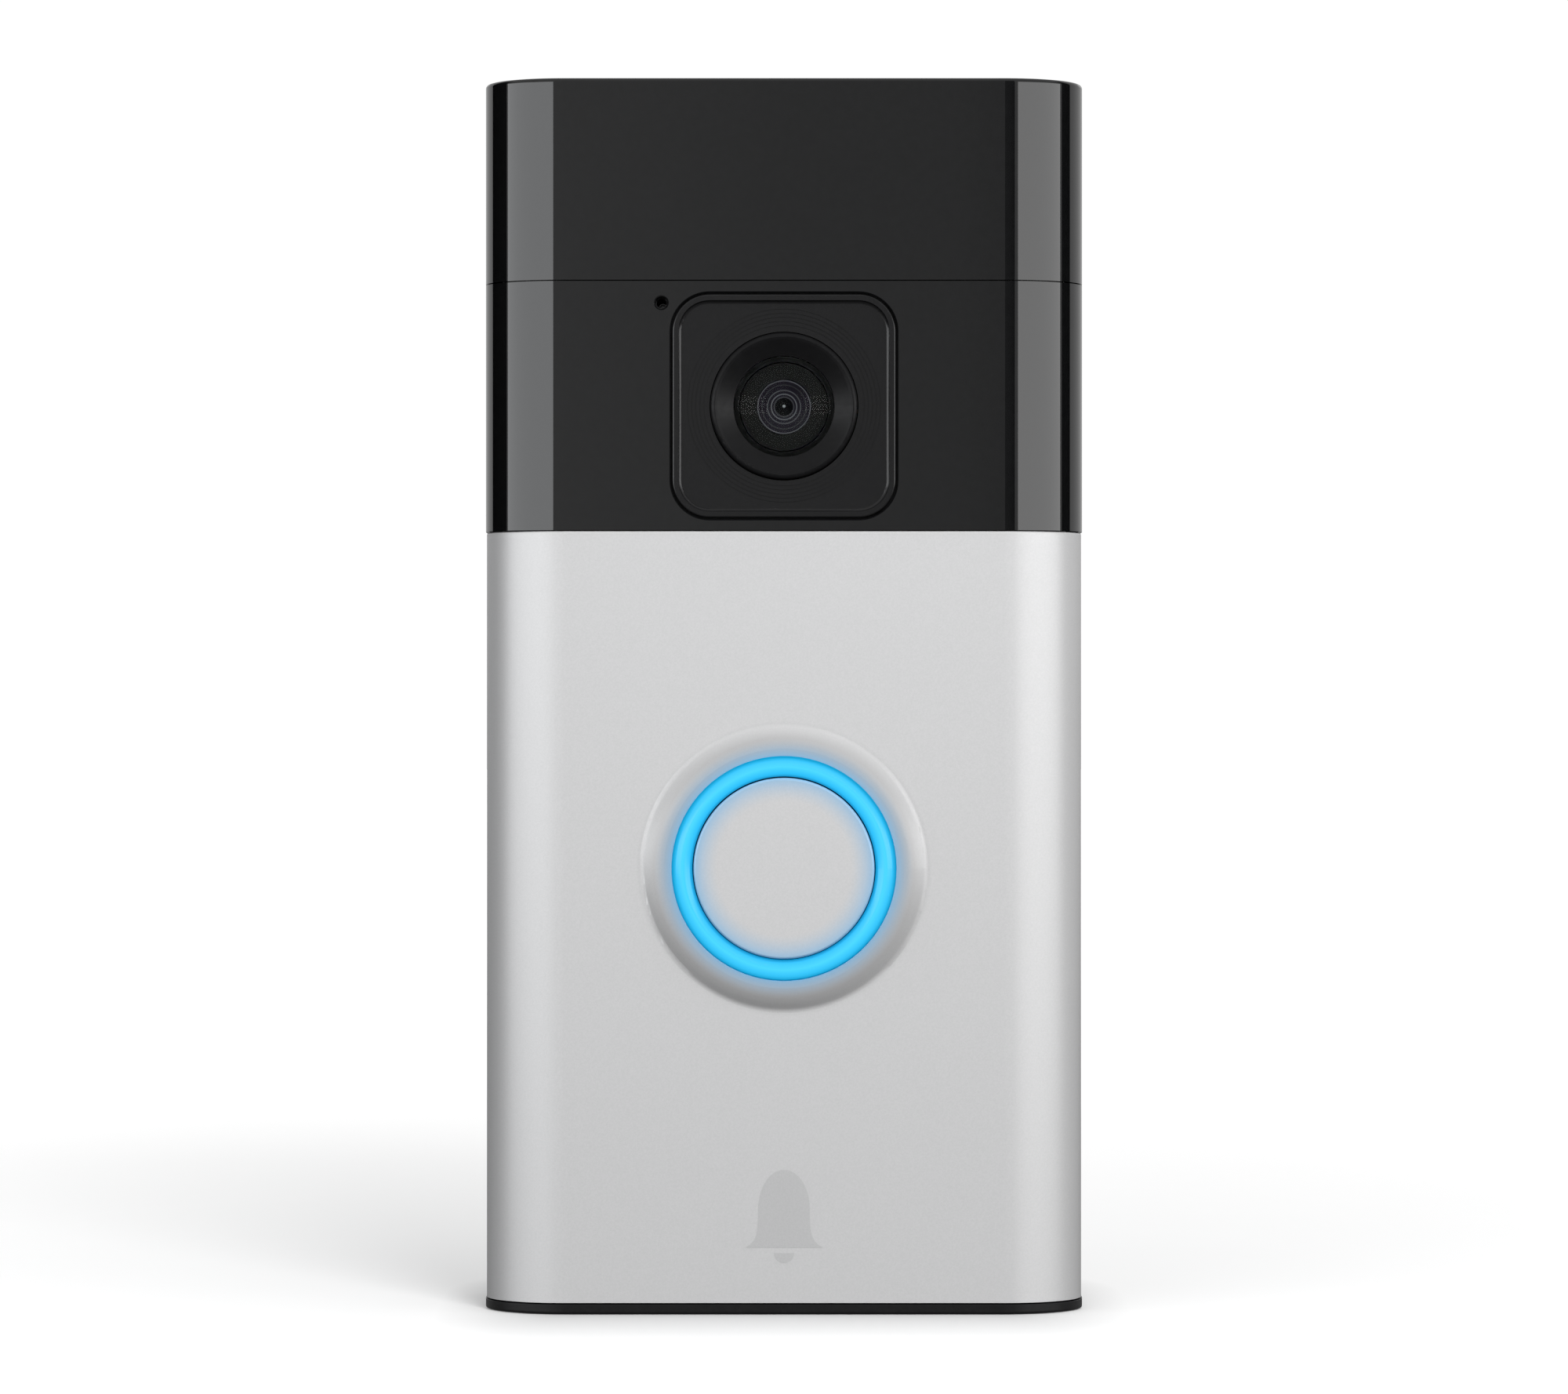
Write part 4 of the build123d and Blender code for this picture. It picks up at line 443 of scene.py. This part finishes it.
FINISHES = {
    "satin_nickel": satin_nickel("satin_nickel", FACE_GLOW, shade=MOUND_SHADE),
    "gloss_black": gloss_black(),
    "bezel_black": bezel_black(),
    "lens_black": plain("lens_black", (0.004, 0.004, 0.0043), 0.34, edge=0.05, Specular_IOR_Level=0.14),
    "window_glass": window_glass(),
    "lens_coating": lens_coating(),
    "spacer_metal": plain("spacer_metal", (0.02, 0.02, 0.022), 0.35, metallic=0.6, edge=0.0),
    "housing_black": plain("housing_black", (0.0060, 0.0060, 0.0063), 0.36, grain=0.22, depth=0.006,
                           Specular_IOR_Level=0.22),
    "bracket_black": plain("bracket_black", (0.026, 0.026, 0.027), 0.50, grain=0.38, depth=0.020,
                           wear_and_highlight=(0.07, 0.07, 0.072)),
    "ring_blue": ring_blue(),
    "button_silver": satin_nickel("button_silver", BUTTON_GLOW),
    "seal_rubber": plain("seal_rubber", (0.014, 0.014, 0.015), 0.7),
    "gasket_grey": plain("gasket_grey", (0.08, 0.08, 0.085), 0.75),
    "board_green": circuit_board("board_green", (0.005, 0.045, 0.016), (0.012, 0.105, 0.035)),
    "tin_plate": plain("tin_plate", (0.62, 0.62, 0.60), 0.3, metallic=1.0),
    "screw_steel": plain("screw_steel", (0.42, 0.42, 0.43), 0.26, metallic=1.0, grain=0.18,
                         wear_and_highlight=(0.70, 0.70, 0.71)),
    "spring_steel": plain("spring_steel", (0.40, 0.40, 0.42), 0.25, metallic=1.0),
    "chip_black": plain("chip_black", (0.02, 0.02, 0.02), 0.5),
    "sensor_glass": plain("sensor_glass", (0.02, 0.03, 0.04), 0.1),
    "lamp_resin": plain("lamp_resin", (0.03, 0.015, 0.02), 0.15),
    "motion_lens_white": fresnel_white(),
    "ring_lamp_white": plain("ring_lamp_white", (0.75, 0.73, 0.6), 0.35),
    "flex_amber": flex_film(),
    "aerial_copper": plain("aerial_copper", (0.6, 0.3, 0.18), 0.3, metallic=1.0),
    "lead_black": plain("lead_black", (0.012, 0.012, 0.012), 0.45),
    "lead_red": plain("lead_red", (0.35, 0.02, 0.015), 0.45),
    "battery_foil": wrapped_foil(),
    "plug_white": plain("plug_white", (0.6, 0.58, 0.52), 0.45),
    "speaker_black": plain("speaker_black", (0.012, 0.012, 0.012), 0.5),
    "cone_grey": plain("cone_grey", (0.12, 0.12, 0.12), 0.6),
    "magnet_nickel": plain("magnet_nickel", (0.5, 0.49, 0.46), 0.25, metallic=1.0),
    "mesh_black": woven_mesh(),
    "port_steel": plain("port_steel", (0.45, 0.45, 0.46), 0.28, metallic=1.0),
    "setup_orange": plain("setup_orange", (0.75, 0.20, 0.02), 0.4),
    "plunger_grey": plain("plunger_grey", (0.25, 0.25, 0.25), 0.5),
    "terminal_brass": plain("terminal_brass", (0.62, 0.42, 0.16), 0.26, metallic=1.0, grain=0.25,
                            depth=0.004, wear_and_highlight=(0.85, 0.66, 0.36)),
    "latch_grey": plain("latch_grey", (0.10, 0.10, 0.105), 0.45, wear_and_highlight=(0.2, 0.2, 0.205)),
    "mark_grey": satin_nickel("mark_grey", FACE_GLOW, colour=(0.385, 0.385, 0.388)),
}

for node in nodes.values():
    slots = node.data.materials
    for index, old in enumerate(slots):
        slots[index] = FINISHES[old.name.split(".")[0]].material

# the back is moulded with a coarser, duller grain than the base band under the faceplate
rear_grain = plain("rear_black", (0.014, 0.014, 0.0145), 0.46, grain=0.30, depth=0.016,
                   wear_and_highlight=(0.04, 0.04, 0.041), Specular_IOR_Level=0.4)
rear_slots = nodes["rear_housing"].data.materials
for index in range(len(rear_slots)):
    rear_slots[index] = rear_grain.material


# ---------------------------------------------------------------- mark on the faceplate
MOUND_HEIGHT = 1.0 * MM  # of the mound round the button, ahead of the flat face
MARK_SIZE = 8.0 * MM
MARK_MIDDLE_Z = 0.0102
MARK_PROUD = 0.02 * MM
MARK_STEPS = 48
# shares of the mark's size; the heights are from its middle
BELL_MOUTH = -0.42
CLAPPER_TOP = -0.49
CLAPPER_RADIUS = 0.13


def bell_half_width(height):
    """Half the width of a bell at a height from its mouth, 0, to its crown, 1."""
    waist = 0.33
    flare = 0.17 * exp(-height / 0.09)
    dome = max(0.0, (height - 0.50) / 0.50)
    return (waist + flare) * sqrt(1 - dome**2)


def flat_shape(name, outline, y):
    """Thin plate on the faceplate, from an outline of (x, z)."""
    count = len(outline)
    corners = [(x, y - MARK_PROUD, z) for x, z in outline] + [(x, y, z) for x, z in outline]
    sides = [(i, count + i, count + (i + 1) % count, (i + 1) % count) for i in range(count)]
    mesh = bpy.data.meshes.new(name)
    front = tuple(range(count))
    back = tuple(reversed(range(count, 2 * count)))
    mesh.from_pydata(corners, [], [front, back] + sides)
    mesh.materials.append(FINISHES["mark_grey"].material)
    plate = bpy.data.objects.new(name, mesh)
    bpy.context.collection.objects.link(plate)
    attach(plate, "doorbell")


def mark_place(x, z):
    """Place on the faceplate of a point given in shares of the mark's size, from its middle."""
    return x * MARK_SIZE, MARK_MIDDLE_Z + z * MARK_SIZE


face_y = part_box("faceplate")[0][1] + MOUND_HEIGHT
heights = [(1 - cos(pi * step / MARK_STEPS)) / 2 for step in range(MARK_STEPS + 1)]
right_side = [(bell_half_width(height), height) for height in heights]
left_side = [(-half, height) for half, height in reversed(right_side[:-1])]
bell_outline = [mark_place(x, BELL_MOUTH + z) for x, z in right_side + left_side]
flat_shape("bell_mark", bell_outline, face_y)

# the clapper is a half disc that shows under the bell's mouth
turns = [pi * (2 * step / MARK_STEPS - 1) for step in range(MARK_STEPS // 2 + 1)]
clapper_outline = [
    mark_place(CLAPPER_RADIUS * cos(turn), CLAPPER_TOP + CLAPPER_RADIUS * sin(turn)) for turn in turns
]
flat_shape("bell_mark_clapper", clapper_outline, face_y)


# ---------------------------------------------------------------- camera
CAMERA_DISTANCE = 0.650  # from the front of the covers
CAMERA_HEIGHT = 0.0605
CAMERA_LENS = 145.3  # millimetres
CAMERA_RISE = 0.018  # shift that keeps the object's verticals parallel and frames it
CAMERA_NEAR = 0.02
CAMERA_FAR = 20.0
front_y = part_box("camera_cover")[0][1]

lens_data = bpy.data.cameras.new("camera")
lens_data.lens = CAMERA_LENS
lens_data.shift_y = CAMERA_RISE
lens_data.clip_start = CAMERA_NEAR
lens_data.clip_end = CAMERA_FAR
camera = bpy.data.objects.new("camera", lens_data)
camera.location = (0.0, front_y - CAMERA_DISTANCE, CAMERA_HEIGHT)
camera.rotation_euler = (radians(90), 0, 0)
bpy.context.collection.objects.link(camera)
bpy.context.scene.camera = camera


# ---------------------------------------------------------------- floor, light and flags
def direction(azimuth):
    """Unit vector at an azimuth from the front, positive to the right of someone facing it."""
    return Vector((sin(radians(azimuth)), -cos(radians(azimuth)), 0.0))


def span_width(start, end, distance):
    """Width of a flat panel that covers the azimuths from start to end at a distance."""
    return 2 * distance * tan(radians(abs(end - start) / 2))


def softbox(name, start, end, distance, top, radiance, colour):
    """Upright area light across a range of azimuths, facing the object, unseen by the camera."""
    azimuth = (start + end) / 2
    data = bpy.data.lights.new(name, "AREA")
    data.shape = "RECTANGLE"
    data.size = span_width(start, end, distance)
    data.size_y = top
    data.energy = radiance * pi * data.size * data.size_y
    data.color = colour
    light = bpy.data.objects.new(name, data)
    light.location = direction(azimuth) * distance + Vector((0, 0, top / 2))
    light.rotation_euler = (radians(90), 0, radians(azimuth))
    light.visible_camera = False
    light.visible_transmission = False  # a lamp seen through the window would speckle the lens
    bpy.context.collection.objects.link(light)
    return light


def card(name, start, end, bottom, top, distance, material):
    """Upright card across a range of azimuths, unseen by the camera."""
    middle = direction((start + end) / 2) * distance
    half = span_width(start, end, distance) / 2
    across = direction((start + end) / 2 + 90) * half
    low = Vector((0, 0, bottom))
    high = Vector((0, 0, top))
    left = middle - across
    right = middle + across
    corners = [tuple(corner) for corner in (left + low, right + low, right + high, left + high)]
    mesh = bpy.data.meshes.new(name)
    mesh.from_pydata(corners, [], [(0, 1, 2, 3)])
    mesh.materials.append(material)
    panel = bpy.data.objects.new(name, mesh)
    panel.visible_camera = False
    bpy.context.collection.objects.link(panel)


def even_glow(name, strength):
    """Card that glows evenly."""
    material = bpy.data.materials.new(name)
    material.use_nodes = True
    tree = material.node_tree
    tree.nodes.clear()
    output = tree.nodes.new("ShaderNodeOutputMaterial")
    glow = tree.nodes.new("ShaderNodeEmission")
    glow.inputs["Strength"].default_value = strength
    tree.links.new(glow.outputs["Emission"], output.inputs["Surface"])
    return material


def graded_glow(name, stops):
    """Card whose glow changes along X, by (x in metres, strength) stops."""
    material = even_glow(name, 1.0)
    tree = material.node_tree
    first, last = stops[0][0], stops[-1][0]
    where = tree.nodes.new("ShaderNodeTexCoord")
    parts = tree.nodes.new("ShaderNodeSeparateXYZ")
    grade = tree.nodes.new("ShaderNodeMapRange")
    ramp = tree.nodes.new("ShaderNodeValToRGB")
    grade.inputs["From Min"].default_value = first
    grade.inputs["From Max"].default_value = last
    set_stops(ramp, [((x - first) / (last - first), (strength,) * 3) for x, strength in stops])
    tree.links.new(where.outputs["Object"], parts.inputs["Vector"])
    tree.links.new(parts.outputs["X"], grade.inputs["Value"])
    tree.links.new(grade.outputs["Result"], ramp.inputs["Fac"])
    tree.links.new(ramp.outputs["Color"], tree.nodes["Emission"].inputs["Color"])
    return material


def black_cloth():
    """Cloth that takes light away from what mirrors it."""
    material = bpy.data.materials.new("flag_cloth")
    material.use_nodes = True
    shader = material.node_tree.nodes["Principled BSDF"]
    shader.inputs["Base Color"].default_value = (0.001, 0.001, 0.001, 1)
    shader.inputs["Roughness"].default_value = 1.0
    shader.inputs["Specular IOR Level"].default_value = 0.0
    return material


# azimuths in degrees: the card behind the camera, then panels and flags on both sides of the object
CARD_EDGE = 17.0
PANEL_EDGE = 90.0
PANEL_START_RIGHT = 21.5
FLAG_LEFT = (-92.0, -128.0)
FLAG_RIGHT = (93.0, 112.0)
CARD_BOTTOM = 0.001
CARD_TOP = 0.9
CARD_DISTANCE = 1.2
FLAG_DISTANCE = 0.9
SHEEN_DISTANCE = 1.0
SHEEN_TOP = 0.34  # low enough to stay out of the glossy top's reflections
SHEEN_RADIANCE = 3.0
FILL_DISTANCE = 1.1
FILL_TOP = 1.1
FILL_RADIANCE = 0.95
DAYLIGHT = (0.96, 0.98, 1.0)
WHITE = (1.0, 1.0, 1.0)
# what the flat front faces mirror, from left to right of the camera: (x, strength)
CARD_STOPS = [
    (-0.35, 0.60),
    (-0.07, 0.60),
    (0.0, 0.46),
    (0.05, 0.43),
    (0.085, 0.26),
    (0.17, 0.10),
    (0.35, 0.02),
]
KEY_PLACE = Vector((0.09, -0.36, 0.27))
KEY_TARGET = Vector((0.0, 0.0, 0.06))
KEY_SIZE = 0.16
KEY_RADIANCE = 32.5
SKY = 1.02  # white all round, as the camera sees it
SKY_LIGHT = 0.70  # what it gives the object
BELOW = 0.18  # what the object gets from under the horizon

FLOOR_HALF = 8.0
FLOOR_DROP = -0.00005  # just under the object's foot
UNDER_DROP = -0.002
FLOOR_CONTACT = (0.0, 0.34)  # glow right beside the object, and past the soft shadow at its foot
FLOOR_CONTACT_REACH = 0.026
SIDE_INSET = 0.008  # the soft shadow is round at the corners, and shorter at the sides
SIDE_FADE = 2.0
FLOOR_FAR = 0.75  # what is added far away, so that the floor meets the white background unseen
FLOOR_FAR_REACH = 1.0


def studio_world():
    """White all round, and dimmer for the object than for the camera."""
    world = bpy.data.worlds.new("studio")
    world.use_nodes = True
    sky_nodes = world.node_tree.nodes
    background = sky_nodes["Background"]
    background.inputs["Color"].default_value = (1, 1, 1, 1)
    light_path = sky_nodes.new("ShaderNodeLightPath")
    strength = sky_nodes.new("ShaderNodeMapRange")
    strength.inputs["To Min"].default_value = SKY_LIGHT
    strength.inputs["To Max"].default_value = SKY
    world.node_tree.links.new(light_path.outputs["Is Camera Ray"], strength.inputs["Value"])
    world.node_tree.links.new(strength.outputs["Result"], background.inputs["Strength"])
    return world


def floor_white():
    """White floor that glows, but for a soft shadow round the object's foot."""
    finish = Finish("floor_white", (0.50, 0.50, 0.50), 0.6, Specular_IOR_Level=0.2)
    finish.vary_colour(0.005, 40.0)
    foot_low, foot_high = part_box("front_frame")
    outside = []
    for axis, half, fade in (("X", foot_high[0] - SIDE_INSET, SIDE_FADE), ("Y", -foot_low[1], 1.0)):
        past = finish.maths("SUBTRACT", finish.maths("ABSOLUTE", finish.axis(axis)), half)
        past = finish.maths("MULTIPLY", finish.maths("MAXIMUM", past, 0.0), fade)
        outside.append(finish.maths("MULTIPLY", past, past))
    distance = finish.maths("SQRT", finish.maths("ADD", *outside))
    near_glow = finish.spread(distance, *FLOOR_CONTACT, 0.0, FLOOR_CONTACT_REACH)
    far_glow = finish.spread(distance, 0.0, FLOOR_FAR, FLOOR_CONTACT_REACH, FLOOR_FAR_REACH)
    finish.join(finish.maths("ADD", near_glow, far_glow), finish.shader.inputs["Emission Strength"])
    finish.shader.inputs["Emission Color"].default_value = (1, 1, 1, 1)
    return finish


def ground(name, height, material):
    """Square sheet at a height, as wide as the floor."""
    half = FLOOR_HALF
    corners = [(-half, -half, 0), (half, -half, 0), (half, half, 0), (-half, half, 0)]
    mesh = bpy.data.meshes.new(name)
    mesh.from_pydata(corners, [], [(0, 1, 2, 3)])
    mesh.materials.append(material)
    sheet = bpy.data.objects.new(name, mesh)
    sheet.location.z = height
    bpy.context.collection.objects.link(sheet)
    return sheet


bpy.context.scene.world = studio_world()

floor = ground("floor", FLOOR_DROP, floor_white().material)
floor.visible_diffuse = False
floor.visible_glossy = False

# the object's light from below comes from a dim card under the floor, which the camera doesn't see
under = ground("under_card", UNDER_DROP, even_glow("under_glow", BELOW))
under.visible_camera = False

for name, start, end, colour in (
    ("left", -CARD_EDGE, -PANEL_EDGE, DAYLIGHT),
    ("right", PANEL_START_RIGHT, PANEL_EDGE, WHITE),
):
    # the panel that reflections show stands in front of the dimmer one that lights matt surfaces
    sheen = softbox("sheen_" + name, start, end, SHEEN_DISTANCE, SHEEN_TOP, SHEEN_RADIANCE, colour)
    sheen.visible_diffuse = False
    fill = softbox("fill_" + name, start, end, FILL_DISTANCE, FILL_TOP, FILL_RADIANCE, colour)
    fill.visible_glossy = False

cloth = black_cloth()
card_glow = graded_glow("card_glow", CARD_STOPS)
card("card_front", -CARD_EDGE, CARD_EDGE, CARD_BOTTOM, CARD_TOP, CARD_DISTANCE, card_glow)
card("flag_left", *FLAG_LEFT, CARD_BOTTOM, CARD_TOP, FLAG_DISTANCE, cloth)
card("flag_right", *FLAG_RIGHT, CARD_BOTTOM, CARD_TOP, FLAG_DISTANCE, cloth)

key_data = bpy.data.lights.new("key", "AREA")
key_data.shape = "DISK"
key_data.size = KEY_SIZE
key_data.energy = KEY_RADIANCE * pi * pi * KEY_SIZE**2 / 4
key = bpy.data.objects.new("key", key_data)
key.location = KEY_PLACE
key.rotation_euler = (KEY_TARGET - KEY_PLACE).to_track_quat("-Z", "Y").to_euler()
key.visible_camera = False
key.visible_glossy = False
key.visible_transmission = False
bpy.context.collection.objects.link(key)

bpy.context.scene.view_settings.view_transform = "Standard"
